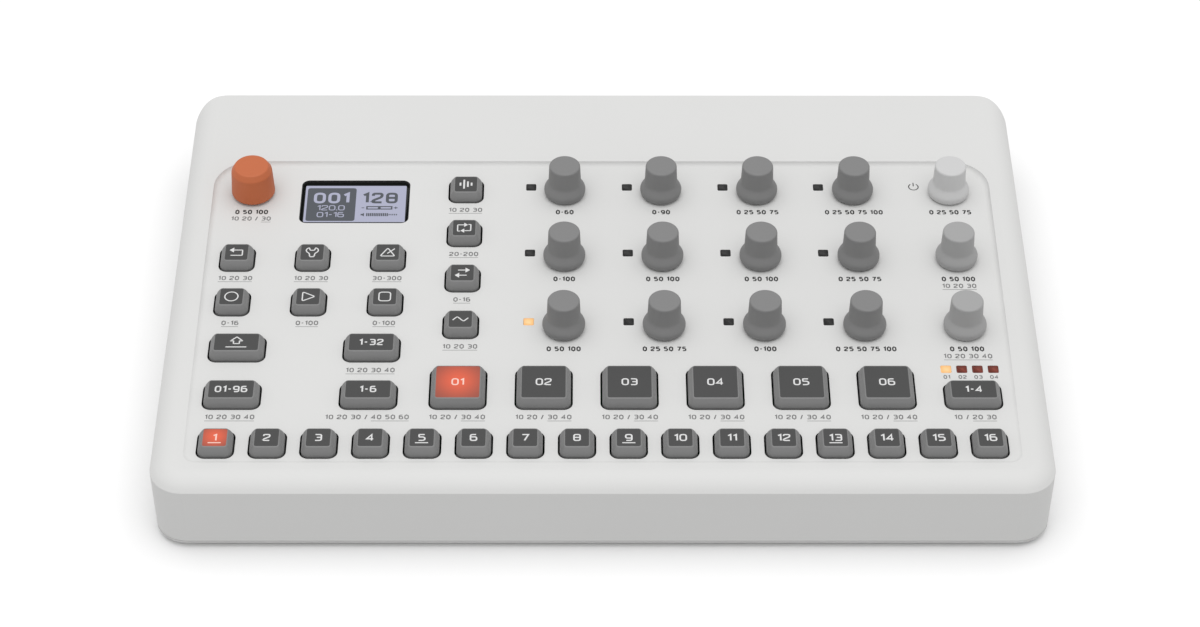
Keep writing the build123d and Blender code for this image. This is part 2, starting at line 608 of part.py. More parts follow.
# Control board and socket board with what is soldered or screwed to them
with BuildPart() as circuit_boards:
    with BuildSketch(Plane.XY.offset(board_z - SOLDER_GAP - BOARD_THICKNESS)):
        with Locations((0, board_mid_y)):
            RectangleRounded(board_width, board_rear_y - board_front_y, BOARD_CORNER_RADIUS)
        with Locations(*post_points):
            Circle(BOARD_SCREW_RADIUS + BOARD_SCREW_CLEARANCE, mode=Mode.SUBTRACT)
    extrude(amount=BOARD_THICKNESS)
    with BuildSketch(Plane.XY.offset(socket_board_z - BOARD_THICKNESS)):
        with Locations(socket_board_mid):
            RectangleRounded(socket_board_width, socket_board_depth, BOARD_CORNER_RADIUS)
        with Locations(*socket_post_points):
            Circle(BOARD_SCREW_RADIUS + BOARD_SCREW_CLEARANCE, mode=Mode.SUBTRACT)
    extrude(amount=BOARD_THICKNESS)
    # Header that joins the two boards
    link_top_z = board_z - 2 * SOLDER_GAP - BOARD_THICKNESS
    with BuildSketch(Plane.XY.offset(socket_base_z)):
        with Locations((socket_board_mid[0], link_y)):
            Rectangle(LINK_WIDTH, LINK_DEPTH)
    extrude(amount=link_top_z - socket_base_z)
    # Key switches, each with a bore for the stem of its key
    with BuildSketch(Plane.XY.offset(board_z)):
        with Locations(*key_points):
            Rectangle(SWITCH_WIDTH, SWITCH_WIDTH)
    extrude(amount=SWITCH_BASE)
    with BuildSketch(Plane.XY.offset(board_z + SWITCH_BASE)):
        with Locations(*key_points):
            Rectangle(SWITCH_WIDTH, SWITCH_WIDTH)
            Circle(STEM_RADIUS + SWITCH_CLEARANCE, mode=Mode.SUBTRACT)
    extrude(amount=SWITCH_HEIGHT - SWITCH_BASE)
    # Encoders with their bushings
    with BuildSketch(Plane.XY.offset(board_z)):
        with Locations(*knob_points):
            Rectangle(ENCODER_WIDTH, ENCODER_WIDTH)
    extrude(amount=ENCODER_FLOOR)
    with BuildSketch(Plane.XY.offset(board_z + ENCODER_FLOOR)):
        with Locations(*knob_points):
            Rectangle(ENCODER_WIDTH, ENCODER_WIDTH)
            Circle(SHAFT_RADIUS + SHAFT_CLEARANCE, mode=Mode.SUBTRACT)
    extrude(amount=ENCODER_HEIGHT - ENCODER_FLOOR)
    with BuildSketch(Plane.XY.offset(board_z)):
        with Locations(level_point):
            Rectangle(ENCODER_WIDTH, ENCODER_WIDTH)
            Circle(ROTOR_RADIUS + MOVING_GAP, mode=Mode.SUBTRACT)
    extrude(amount=ROTOR_HEIGHT + 2 * MOVING_GAP)
    with BuildSketch(Plane.XY.offset(board_z + ROTOR_HEIGHT + 2 * MOVING_GAP)):
        with Locations(level_point):
            Rectangle(ENCODER_WIDTH, ENCODER_WIDTH)
            Circle(SHAFT_RADIUS + SHAFT_CLEARANCE, mode=Mode.SUBTRACT)
    extrude(amount=ENCODER_HEIGHT - ROTOR_HEIGHT - 2 * MOVING_GAP)
    with BuildSketch(Plane.XY.offset(board_z + ENCODER_HEIGHT)):
        with Locations(*knob_points, level_point):
            Circle(BUSHING_RADIUS)
            Circle(SHAFT_RADIUS + SHAFT_CLEARANCE, mode=Mode.SUBTRACT)
    extrude(amount=bushing_top_z - board_z - ENCODER_HEIGHT)
    # Light guides that end flush with the panel
    with BuildSketch(Plane.XY.offset(board_z)):
        with Locations(*lamp_points):
            RectangleRounded(LAMP_WIDTH, LAMP_WIDTH, LAMP_CORNER_RADIUS)
    extrude(amount=panel_z - board_z)
    # Screws of the control board from below and of the socket board from above
    board_under_z = board_z - SOLDER_GAP - BOARD_THICKNESS
    with BuildSketch(Plane.XY.offset(board_under_z - SOLDER_GAP - BOARD_SCREW_HEAD_HEIGHT)):
        with Locations(*post_points):
            Circle(BOARD_SCREW_HEAD_RADIUS)
    extrude(amount=BOARD_SCREW_HEAD_HEIGHT)
    with BuildSketch(Plane.XY.offset(board_under_z - SOLDER_GAP)):
        with Locations(*post_points):
            Circle(BOARD_SCREW_RADIUS)
    extrude(amount=BOARD_SCREW_LENGTH)
    with BuildSketch(Plane.XY.offset(socket_base_z)):
        with Locations(*socket_post_points):
            Circle(BOARD_SCREW_HEAD_RADIUS)
    extrude(amount=BOARD_SCREW_HEAD_HEIGHT)
    with BuildSketch(Plane.XY.offset(cover_edge_z + MOVING_GAP)):
        with Locations(*socket_post_points):
            Circle(BOARD_SCREW_RADIUS)
    extrude(amount=socket_base_z - cover_edge_z - MOVING_GAP)
save(circuit_boards, "circuit_boards")

# Display: a stepped window pane held under the panel and the screen module below it
with BuildPart() as display_module:
    pane_foot_z = panel_under_z - SOLDER_GAP - PANE_FLANGE
    with BuildSketch(Plane.XY.offset(pane_foot_z)):
        with Locations((display_x, display_y)):
            RectangleRounded(
                DISPLAY_WIDTH + 2 * PANE_FLANGE_LIP, DISPLAY_DEPTH + 2 * PANE_FLANGE_LIP, DISPLAY_CORNER_RADIUS
            )
    extrude(amount=PANE_FLANGE)
    with BuildSketch(Plane.XY.offset(panel_under_z - SOLDER_GAP)):
        with Locations((display_x, display_y)):
            RectangleRounded(
                DISPLAY_WIDTH - 2 * PANE_CLEARANCE,
                DISPLAY_DEPTH - 2 * PANE_CLEARANCE,
                DISPLAY_CORNER_RADIUS - PANE_CLEARANCE,
            )
    extrude(amount=PANEL_THICKNESS - PANE_DROP + SOLDER_GAP)
    with BuildSketch(Plane.XY.offset(board_z)):
        with Locations((display_x, display_y)):
            RectangleRounded(DISPLAY_WIDTH + 2 * LCD_LIP, DISPLAY_DEPTH + 2 * LCD_LIP, DISPLAY_CORNER_RADIUS)
    extrude(amount=pane_foot_z - SOLDER_GAP - board_z)
save(display_module, "display_module")

# Rear sockets and the body of the power switch
with BuildPart() as rear_jacks:
    socket_plane = Plane.XZ.offset(-socket_face_y)
    socket_radius = SOCKET_CORNER_RADIUS - SOCKET_CLEARANCE
    with BuildSketch(socket_plane):
        with Locations(*[(x, jack_z) for x in jack_xs]):
            RectangleRounded(JACK_WIDTH, JACK_HEIGHT, socket_radius)
    extrude(amount=JACK_DEPTH)
    with BuildSketch(socket_plane):
        with Locations(*[(x, jack_z) for x in jack_xs]):
            Circle(JACK_BORE_RADIUS)
    extrude(amount=JACK_BORE_DEPTH, mode=Mode.SUBTRACT)
    with BuildSketch(socket_plane):
        with Locations(*[(x, jack_z) for x in mini_xs]):
            RectangleRounded(MINI_WIDTH, JACK_HEIGHT, socket_radius)
    extrude(amount=MINI_DEPTH)
    with BuildSketch(socket_plane):
        with Locations(*[(x, jack_z) for x in mini_xs]):
            Circle(MINI_BORE_RADIUS)
    extrude(amount=MINI_BORE_DEPTH, mode=Mode.SUBTRACT)
    with BuildSketch(socket_plane):
        with Locations((inlet_x, jack_z)):
            RectangleRounded(INLET_WIDTH, JACK_HEIGHT, socket_radius)
    extrude(amount=INLET_DEPTH)
    with BuildSketch(socket_plane):
        with Locations((inlet_x, jack_z)):
            Circle(INLET_BORE_RADIUS)
            Circle(INLET_PIN_RADIUS, mode=Mode.SUBTRACT)
    extrude(amount=INLET_BORE_DEPTH, mode=Mode.SUBTRACT)
    with BuildSketch(socket_plane):
        with Locations((usb_x, usb_z)):
            RectangleRounded(USB_WIDTH, USB_HEIGHT, socket_radius)
    extrude(amount=USB_DEPTH)
    with BuildSketch(socket_plane):
        with Locations((usb_x, usb_z)):
            Rectangle(USB_SLOT_WIDTH, USB_SLOT_HEIGHT)
            Rectangle(USB_SLOT_WIDTH - 2 * USB_TONGUE_CLEARANCE, USB_TONGUE_HEIGHT, mode=Mode.SUBTRACT)
    extrude(amount=USB_SLOT_DEPTH, mode=Mode.SUBTRACT)
    toggle_plane = Plane.XZ.offset(TOGGLE_DROP - socket_face_y)
    slot_width = TOGGLE_WIDTH + TOGGLE_TRAVEL + 2 * MOVING_GAP
    with BuildSketch(toggle_plane):
        with Locations((toggle_x, toggle_z)):
            Rectangle(TOGGLE_BODY_WIDTH, TOGGLE_BODY_HEIGHT)
    extrude(amount=TOGGLE_BODY_DEPTH)
    with BuildSketch(toggle_plane):
        with Locations((toggle_x, toggle_z)):
            Rectangle(slot_width, TOGGLE_HEIGHT + 2 * MOVING_GAP)
    extrude(amount=TOGGLE_SEAT + MOVING_GAP, mode=Mode.SUBTRACT)
save(rear_jacks, "rear_jacks")

# Power switch toggle, at the off end of its slot
with BuildPart() as power_toggle:
    with BuildSketch(Plane.XZ.offset(TOGGLE_TIP_DROP - socket_face_y)):
        with Locations((toggle_x + TOGGLE_TRAVEL / 2, toggle_z)):
            Rectangle(TOGGLE_WIDTH, TOGGLE_HEIGHT)
    extrude(amount=TOGGLE_DROP - TOGGLE_TIP_DROP + TOGGLE_SEAT)
    chamfer(power_toggle.faces().sort_by(Axis.Y)[-1].edges(), MOVING_GAP)
save(power_toggle, "power_toggle")


def build_key(label: str, x: float, y: float, width: float, depth: float) -> None:
    """Make one key: a hollow cap with sloping sides and retaining lips, and its window with a stem."""
    window_width = width - 2 * (KEY_SLOPE_RUN + WINDOW_BORDER)
    window_depth = depth - 2 * (KEY_SLOPE_RUN + WINDOW_BORDER)
    window_radius = KEY_CORNER_RADIUS - KEY_SLOPE_RUN - WINDOW_BORDER
    window_foot_z = key_top_z - WINDOW_THICKNESS
    with BuildPart() as key:
        with BuildSketch(Plane.XY.offset(key_foot_z)):
            with Locations((x, y)):
                RectangleRounded(width, depth, KEY_CORNER_RADIUS)
        extrude(amount=slope_foot_z - key_foot_z)
        with BuildSketch(Plane.XY.offset(slope_foot_z)):
            with Locations((x, y)):
                RectangleRounded(width, depth, KEY_CORNER_RADIUS)
        with BuildSketch(Plane.XY.offset(key_top_z)):
            with Locations((x, y)):
                RectangleRounded(
                    width - 2 * KEY_SLOPE_RUN, depth - 2 * KEY_SLOPE_RUN, KEY_CORNER_RADIUS - KEY_SLOPE_RUN
                )
        loft(ruled=True)
        fillet(key.faces().sort_by(Axis.Z)[-1].edges(), KEY_EDGE_RADIUS)
        with BuildSketch(Plane.XY.offset(key_foot_z)):
            with Locations((x, y)):
                RectangleRounded(width, depth + 2 * (KEY_GAP + KEY_LIP), KEY_CORNER_RADIUS)
        extrude(amount=KEY_FLANGE)
        with BuildSketch(Plane.XY.offset(key_foot_z)):
            with Locations((x, y)):
                RectangleRounded(width - 2 * KEY_WALL, depth - 2 * KEY_WALL, KEY_CORNER_RADIUS - KEY_WALL)
        extrude(amount=key_roof_z - key_foot_z, mode=Mode.SUBTRACT)
        with BuildSketch(Plane.XY.offset(window_foot_z)):
            with Locations((x, y)):
                RectangleRounded(window_width, window_depth, window_radius)
        extrude(amount=WINDOW_THICKNESS, mode=Mode.SUBTRACT)
        with BuildSketch(Plane.XY.offset(key_roof_z)):
            with Locations((x, y)):
                Circle(STEM_RADIUS + INSERT_FIT)
        extrude(amount=KEY_ROOF, mode=Mode.SUBTRACT)
        with BuildSketch(Plane.XY.offset(window_foot_z + INSERT_FIT)):
            with Locations((x, y)):
                RectangleRounded(
                    window_width - 2 * INSERT_FIT, window_depth - 2 * INSERT_FIT, window_radius - INSERT_FIT
                )
        extrude(amount=WINDOW_THICKNESS - INSERT_FIT)
        with BuildSketch(Plane.XY.offset(stem_foot_z)):
            with Locations((x, y)):
                Circle(STEM_RADIUS)
        extrude(amount=window_foot_z + INSERT_FIT - stem_foot_z)
    save(key, label)


def build_knob(label: str, x: float, y: float) -> None:
    """Make one knob with a flared skirt, and the encoder shaft that it is pressed on."""
    axis = Axis((x, y, 0), (0, 0, 1))
    foot_z = panel_z + KNOB_FOOT_GAP
    wall_top_z = foot_z + SKIRT_WALL_HEIGHT
    grip_foot_z = knob_top_z - GRIP_WALL_HEIGHT
    with BuildPart() as knob:
        with BuildSketch(Plane.XZ.offset(-y)):
            with BuildLine():
                Polyline(
                    (x, knob_top_z),
                    (x, foot_z),
                    (x + SKIRT_RADIUS, foot_z),
                    (x + SKIRT_RADIUS, wall_top_z),
                )
                Bezier(
                    (x + SKIRT_RADIUS, wall_top_z),
                    (x + SKIRT_RADIUS, wall_top_z + SKIRT_SHOULDER),
                    (x + GRIP_RADIUS, grip_foot_z - FLARE_REACH),
                    (x + GRIP_RADIUS, grip_foot_z),
                )
                Polyline((x + GRIP_RADIUS, grip_foot_z), (x + GRIP_RADIUS, knob_top_z), (x, knob_top_z))
            make_face()
        revolve(axis=axis)
        fillet(knob.edges().filter_by(GeomType.CIRCLE).sort_by(Axis.Z)[-1], GRIP_EDGE_RADIUS)
        fillet(knob.edges().filter_by(GeomType.CIRCLE).sort_by(Axis.Z)[0], SKIRT_EDGE_RADIUS)
        with BuildSketch(Plane.XY.offset(foot_z)):
            with Locations((x, y)):
                Circle(KNOB_SOCKET_RADIUS)
        extrude(amount=KNOB_SOCKET_DEPTH, mode=Mode.SUBTRACT)
        with BuildSketch(Plane.XY.offset(foot_z)):
            with Locations((x, y)):
                Circle(SHAFT_RADIUS + INSERT_FIT)
        extrude(amount=knob_top_z - KNOB_CROWN - foot_z, mode=Mode.SUBTRACT)
        with BuildSketch(Plane.XY.offset(shaft_foot_z)):
            with Locations((x, y)):
                Circle(SHAFT_RADIUS)
        extrude(amount=shaft_top_z - shaft_foot_z)
    save(knob, label)


for key_record in keys:
    build_key(*key_record)
for knob_record in knobs:
    build_knob(*knob_record)

# Turning part of the level encoder: a ring with a square hole that drives the shaft
rotor_foot_z = board_z + MOVING_GAP
rotor_top_z = rotor_foot_z + ROTOR_HEIGHT
with BuildPart() as level_encoder_rotor:
    with BuildSketch(Plane.XY.offset(rotor_foot_z)):
        with Locations(level_point):
            Circle(ROTOR_RADIUS)
            Rectangle(
                DRIVE_WIDTH + 2 * DRIVE_CLEARANCE, DRIVE_WIDTH + 2 * DRIVE_CLEARANCE, mode=Mode.SUBTRACT
            )
    extrude(amount=ROTOR_HEIGHT)
save(level_encoder_rotor, "level_encoder_rotor")

# Level knob with a bevelled top, on a shaft whose square end slides in the rotor
level_x, level_y = level_point
level_foot_z = panel_z + LEVEL_FOOT_GAP
level_top_z = knob_top_z - LEVEL_DROP
level_shaft_foot_z = rotor_top_z + LEVEL_TRAVEL + MOVING_GAP
level_drive_foot_z = rotor_foot_z + LEVEL_TRAVEL + MOVING_GAP
with BuildPart() as level_knob:
    with BuildSketch(Plane.XZ.offset(-level_y)):
        with BuildLine():
            Polyline(
                (level_x, level_top_z),
                (level_x, level_foot_z),
                (level_x + LEVEL_FOOT_RADIUS, level_foot_z),
                (level_x + LEVEL_TOP_RADIUS, level_top_z - LEVEL_BEVEL_HEIGHT),
                (level_x + LEVEL_TOP_RADIUS - LEVEL_BEVEL_WIDTH, level_top_z),
                close=True,
            )
        make_face()
    revolve(axis=Axis((level_x, level_y, 0), (0, 0, 1)))
    fillet(level_knob.edges().filter_by(GeomType.CIRCLE).sort_by(Axis.Z)[0], SKIRT_EDGE_RADIUS)
    with BuildSketch(Plane.XY.offset(level_foot_z)):
        with Locations(level_point):
            Circle(KNOB_SOCKET_RADIUS)
    extrude(amount=KNOB_SOCKET_DEPTH, mode=Mode.SUBTRACT)
    with BuildSketch(Plane.XY.offset(level_foot_z)):
        with Locations(level_point):
            Circle(SHAFT_RADIUS + INSERT_FIT)
    extrude(amount=knob_top_z - KNOB_CROWN - level_foot_z, mode=Mode.SUBTRACT)
    with BuildSketch(Plane.XY.offset(level_shaft_foot_z)):
        with Locations(level_point):
            Circle(SHAFT_RADIUS)
    extrude(amount=shaft_top_z - level_shaft_foot_z)
    with BuildSketch(Plane.XY.offset(level_drive_foot_z)):
        with Locations(level_point):
            Rectangle(DRIVE_WIDTH, DRIVE_WIDTH)
    extrude(amount=level_shaft_foot_z - level_drive_foot_z)
save(level_knob, "level_knob")
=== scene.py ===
"""Looks of a tabletop groovebox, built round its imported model.

Sizes are in millimetres in the model's own frame: X to the right, Y to the rear, Z up from the table.
"""

import json
import logging
import math
from collections.abc import Callable, Sequence
from dataclasses import dataclass, field
from enum import Enum

import bmesh
import bpy
from mathutils import Matrix, Vector
from mathutils.geometry import interpolate_bezier

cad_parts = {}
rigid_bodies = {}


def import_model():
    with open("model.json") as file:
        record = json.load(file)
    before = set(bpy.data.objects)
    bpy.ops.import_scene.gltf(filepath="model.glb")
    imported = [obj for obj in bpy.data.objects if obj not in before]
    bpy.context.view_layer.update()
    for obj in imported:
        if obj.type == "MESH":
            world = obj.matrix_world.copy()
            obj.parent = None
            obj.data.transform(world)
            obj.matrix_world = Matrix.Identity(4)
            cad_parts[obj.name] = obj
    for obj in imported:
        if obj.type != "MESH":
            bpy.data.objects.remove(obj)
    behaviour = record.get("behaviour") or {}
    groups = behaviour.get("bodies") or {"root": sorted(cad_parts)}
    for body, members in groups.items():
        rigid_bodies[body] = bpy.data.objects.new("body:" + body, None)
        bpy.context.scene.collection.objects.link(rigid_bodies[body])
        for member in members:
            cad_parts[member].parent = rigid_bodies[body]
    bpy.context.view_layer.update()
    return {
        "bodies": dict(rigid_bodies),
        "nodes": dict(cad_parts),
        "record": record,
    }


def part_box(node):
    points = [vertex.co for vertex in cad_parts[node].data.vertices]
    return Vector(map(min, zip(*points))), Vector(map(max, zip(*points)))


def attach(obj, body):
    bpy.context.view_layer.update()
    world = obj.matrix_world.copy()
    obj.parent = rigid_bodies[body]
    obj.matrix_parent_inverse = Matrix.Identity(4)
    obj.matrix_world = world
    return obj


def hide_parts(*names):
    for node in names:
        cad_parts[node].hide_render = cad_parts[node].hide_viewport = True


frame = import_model()

log = logging.getLogger("groovebox")

Point = tuple[float, float]
Row = tuple[float, float, float]

MM = 0.001
SHARP_ANGLE = math.radians(38.0)
WELD = 0.0005 * MM
# Height of the control panel above the table
PANEL = 27.0
# Stretches in each rounded corner of a swept outline
CORNER_STEPS = 24
# A line's mitred corner reaches out no further than half its width divided by this
MITRE_LIMIT = 0.45
# Octaves of the noise that draws a finish's clouding and of the one that draws its grain
CLOUD_DETAIL, GRAIN_DETAIL = 3.0, 2.0
# A colour Mix node keeps its colours and its result under these numbers
MIX_FIRST, MIX_SECOND, MIX_RESULT = 6, 7, 2
# Glow of a light guide where no light leaves it
UNLIT = "000000"
# Length of an arrow head for each unit of half its width
ARROW_LENGTH = 1.25
# A Wave texture draws this many waves, times its scale, in each turn of the sine
WAVE_TURN = 2.0 * math.pi / 20.0


def linear(colour: str) -> tuple[float, float, float, float]:
    """Turns an sRGB hex colour to linear light.

    Args:
        colour: Six hex digits, such as "E2E2E2".

    Returns:
        Red, green, blue and an alpha of one.
    """
    parts = [int(colour[i : i + 2], 16) / 255.0 for i in (0, 2, 4)]
    light = [c / 12.92 if c <= 0.04045 else ((c + 0.055) / 1.055) ** 2.4 for c in parts]
    return (light[0], light[1], light[2], 1.0)


def add_node(
    tree: bpy.types.NodeTree,
    kind: str,
    settings: dict | None = None,
    inputs: dict | None = None,
) -> bpy.types.Node:
    """Adds one node with its settings, its values and its links.

    Args:
        tree: The node tree that takes the node.
        kind: Blender's name for the node.
        settings: Properties of the node by name.
        inputs: Values or output sockets, by the name or number of the input.

    Returns:
        The new node.
    """
    node = tree.nodes.new(kind)
    for name, value in (settings or {}).items():
        setattr(node, name, value)
    for key, value in (inputs or {}).items():
        if isinstance(value, bpy.types.NodeSocket):
            tree.links.new(value, node.inputs[key])
        else:
            node.inputs[key].default_value = value
    return node


def start_material(name: str) -> tuple[bpy.types.Material, bpy.types.NodeTree, bpy.types.Node]:
    """Starts a material with an empty shader.

    Args:
        name: The finish's name.

    Returns:
        The material, its node tree and its Principled shader.
    """
    material = bpy.data.materials.new(name)
    material.use_nodes = True
    tree = material.node_tree
    tree.nodes.clear()
    shader = add_node(tree, "ShaderNodeBsdfPrincipled")
    add_node(tree, "ShaderNodeOutputMaterial", inputs={"Surface": shader.outputs["BSDF"]})
    return material, tree, shader


class Finish:
    """What every finish shares: its material is made once and then found by its name."""

    name: str

    def material(self) -> bpy.types.Material:
        """Gives the finish's material, and makes it at the first call."""
        return bpy.data.materials.get(self.name) or self.make()

    def make(self) -> bpy.types.Material:
        """Builds the material's nodes."""
        raise NotImplementedError


@dataclass(frozen=True)
class Moulded(Finish):
    """Moulded, printed or plated surface: a base colour, soft clouding and a fine even grain."""

    name: str
    colour: str
    clouded: str
    roughness: float
    grain: float
    relief: float
    cloud: float = 18.0
    roughness_spread: float = 0.05
    ior: float = 1.5
    metallic: float = 0.0

    def make(self) -> bpy.types.Material:
        """Builds the material's nodes.

        Returns:
            The new material.
        """
        material, tree, shader = start_material(self.name)
        place = add_node(tree, "ShaderNodeTexCoord").outputs["Object"]
        cloud, grain = (
            add_node(
                tree,
                "ShaderNodeTexNoise",
                inputs={"Vector": place, "Scale": 1.0 / (size * MM), "Detail": detail},
            ).outputs["Fac"]
            for size, detail in ((self.cloud, CLOUD_DETAIL), (self.grain, GRAIN_DETAIL))
        )
        tone = add_node(
            tree,
            "ShaderNodeMix",
            {"data_type": "RGBA"},
            {"Factor": cloud, MIX_FIRST: linear(self.colour), MIX_SECOND: linear(self.clouded)},
        )
        least, most = self.roughness - self.roughness_spread, self.roughness + self.roughness_spread
        gloss = add_node(
            tree, "ShaderNodeMapRange", inputs={"Value": grain, "To Min": least, "To Max": most}
        )
        bump = add_node(tree, "ShaderNodeBump", inputs={"Height": grain, "Distance": self.relief * MM})
        tree.links.new(tone.outputs[MIX_RESULT], shader.inputs["Base Color"])
        tree.links.new(gloss.outputs["Result"], shader.inputs["Roughness"])
        tree.links.new(bump.outputs["Normal"], shader.inputs["Normal"])
        shader.inputs["Metallic"].default_value = self.metallic
        shader.inputs["IOR"].default_value = self.ior
        return material


@dataclass(frozen=True)
class Glow(Finish):
    """Clear plastic lit from behind: bright over its lamp, dimmer to its edges, dark below its foot."""

    name: str
    middle: str
    edge: str
    centre: Point
    reach: Point
    foot: float = 0.0
    roughness: float = 0.35
    plastic: str = "1A1210"

    def make(self) -> bpy.types.Material:
        """Builds the material's nodes.

        Returns:
            The new material.
        """
        material, tree, shader = start_material(self.name)
        place = add_node(tree, "ShaderNodeTexCoord").outputs["Object"]
        about_lamp = add_node(
            tree,
            "ShaderNodeMapping",
            {"vector_type": "TEXTURE"},
            {
                "Vector": place,
                "Location": (self.centre[0] * MM, self.centre[1] * MM, 0.0),
                "Scale": (self.reach[0] * MM, self.reach[1] * MM, 1.0),
            },
        )
        flat = add_node(
            tree,
            "ShaderNodeVectorMath",
            {"operation": "MULTIPLY"},
            {0: about_lamp.outputs["Vector"], 1: (1.0, 1.0, 0.0)},
        )
        far = add_node(tree, "ShaderNodeVectorMath", {"operation": "LENGTH"}, {0: flat.outputs["Vector"]})
        spread = add_node(
            tree,
            "ShaderNodeMapRange",
            {"interpolation_type": "SMOOTHSTEP"},
            {"Value": far.outputs["Value"]},
        )
        light = add_node(
            tree,
            "ShaderNodeMix",
            {"data_type": "RGBA"},
            {
                "Factor": spread.outputs["Result"],
                MIX_FIRST: linear(self.middle),
                MIX_SECOND: linear(self.edge),
            },
        )
        glow = light.outputs[MIX_RESULT]
        if self.foot:
            height = add_node(tree, "ShaderNodeSeparateXYZ", inputs={"Vector": place}).outputs["Z"]
            above = add_node(
                tree,
                "ShaderNodeMath",
                {"operation": "GREATER_THAN"},
                {0: height, 1: self.foot * MM},
            )
            glow = add_node(
                tree,
                "ShaderNodeMix",
                {"data_type": "RGBA"},
                {"Factor": above.outputs["Value"], MIX_FIRST: linear(UNLIT), MIX_SECOND: glow},
            ).outputs[MIX_RESULT]
        tree.links.new(glow, shader.inputs["Emission Color"])
        shader.inputs["Emission Strength"].default_value = 1.0
        shader.inputs["Base Color"].default_value = linear(self.plastic)
        shader.inputs["Roughness"].default_value = self.roughness
        return material


@dataclass(frozen=True)
class Screen(Finish):
    """Backlit liquid crystal behind a clear pane: an even light crossed by the dark grid of its dots."""

    name: str
    lit: str
    grid: str
    dot: float
    roughness: float = 0.12
    pane: str = "101214"

    def make(self) -> bpy.types.Material:
        """Builds the material's nodes.

        Returns:
            The new material.
        """
        material, tree, shader = start_material(self.name)
        place = add_node(tree, "ShaderNodeTexCoord").outputs["Object"]
        lines = [
            add_node(
                tree,
                "ShaderNodeTexWave",
                {"bands_direction": direction},
                {"Vector": place, "Scale": WAVE_TURN / (self.dot * MM)},
            ).outputs["Fac"]
            for direction in ("X", "Y")
        ]
        both = add_node(tree, "ShaderNodeMath", {"operation": "MULTIPLY"}, {0: lines[0], 1: lines[1]})
        light = add_node(
            tree,
            "ShaderNodeMix",
            {"data_type": "RGBA"},
            {
                "Factor": both.outputs["Value"],
                MIX_FIRST: linear(self.grid),
                MIX_SECOND: linear(self.lit),
            },
        )
        tree.links.new(light.outputs[MIX_RESULT], shader.inputs["Emission Color"])
        shader.inputs["Emission Strength"].default_value = 1.0
        shader.inputs["Base Color"].default_value = linear(self.pane)
        shader.inputs["Roughness"].default_value = self.roughness
        return material


# ABS with a fine spark-eroded texture: matt, without sparkle, and a little cloudy in the light.
# The grain is drawn at twice its real size, so that it shows.
CASE_ABS = Moulded("pale_textured_abs", "D1D1D0", "CECECD", 0.55, grain=0.35, relief=0.010, cloud=45.0)
# The same plastic a shade darker for the cover, with a coarser grain
COVER_ABS = Moulded("pale_coarse_abs", "C6C6C5", "C2C2C1", 0.6, grain=0.5, relief=0.015, cloud=30.0)
# Satin key plastic: smooth to the finger, with a soft broad shine on its rounded edges
KEY_ABS = Moulded("satin_grey_abs", "797979", "757575", 0.48, grain=0.3, relief=0.006)
# Smoky polycarbonate of the key windows: darker and smoother than the cap round it
WINDOW_PC = Moulded("smoky_polycarbonate", "373737", "343434", 0.36, grain=0.8, relief=0.003, ior=1.58)
# Soft-touch knob plastics: matt, so that their sides shade evenly
KNOB_DARK = Moulded("dark_grey_soft_touch_plastic", "7A7A7A", "777777", 0.58, grain=0.25, relief=0.008)
KNOB_MID = Moulded("mid_grey_soft_touch_plastic", "9B9B9B", "989898", 0.58, grain=0.25, relief=0.008)
KNOB_PALE = Moulded("pale_grey_soft_touch_plastic", "C3C3C3", "C0C0C0", 0.58, grain=0.25, relief=0.008)
KNOB_ORANGE = Moulded("orange_soft_touch_plastic", "BB6339", "B86137", 0.58, grain=0.25, relief=0.008)
# Screen-printed inks: thin, matt, with slightly uneven cover
INK_DARK = Moulded("dark_screen_print_ink", "1E1E1E", "282828", 0.7, grain=0.2, relief=0.002, cloud=2.0)
INK_GREY = Moulded("grey_screen_print_ink", "6C6C6C", "767676", 0.7, grain=0.2, relief=0.002, cloud=2.0)
INK_WHITE = Moulded("white_key_print_ink", "D6D6D6", "CECECE", 0.55, grain=0.2, relief=0.002, cloud=2.0)
# The white ink over a lit window, which its light turns warm
INK_LIT = Moulded(
    "white_key_print_ink_over_light", "EEC9BE", "E6BFB3", 0.55, grain=0.2, relief=0.002, cloud=2.0
)
# Unlit light guides: smoked lens plastic, and red lens plastic above the page key
LENS_SMOKED = Moulded("smoked_lens_plastic", "333333", "2E2E2E", 0.8, grain=0.4, relief=0.003)
LENS_RED = Moulded("red_lens_plastic", "8A4032", "7C392C", 0.8, grain=0.4, relief=0.003)
# Clear acrylic pane over black print: deep black with a clean gloss
PANE_BLACK = Moulded("black_backed_acrylic", "141615", "171918", 0.08, grain=6.0, relief=0.002, ior=1.49)
# Black foam and shadowed key mat, also used as painted shade on the walls of the key openings: takes
# nearly all light
BLACK_AND_PAINTED_SHADE = Moulded("black_silicone_and_painted_shade", "1A1A1A", "202020", 0.75, grain=0.4, relief=0.01)
# Rubber feet: dull and a little dusty
FOOT_RUBBER = Moulded("moulded_rubber", "262626", "303030", 0.85, grain=0.4, relief=0.03, cloud=5.0)
# Zinc-plated screws and stampings, and nickel-plated collars: bright, with a soft uneven shine
SCREW_STEEL = Moulded("zinc_plated_steel", "A8A8A6", "94948F", 0.32, grain=0.3, relief=0.004, metallic=1.0)
NICKEL = Moulded("nickel_plated_brass", "C9C5BC", "B8B4AA", 0.22, grain=0.5, relief=0.003, metallic=1.0)
# Glass-filled nylon of the sockets: black with a dry, faintly streaked face
SOCKET_NYLON = Moulded("glass_filled_nylon", "202020", "2B2B2B", 0.6, grain=0.35, relief=0.012, cloud=3.0)
# Circuit board under its green solder mask
SOLDER_MASK = Moulded("green_solder_mask", "1F5A34", "1A4E2D", 0.3, grain=0.6, relief=0.006, cloud=4.0)
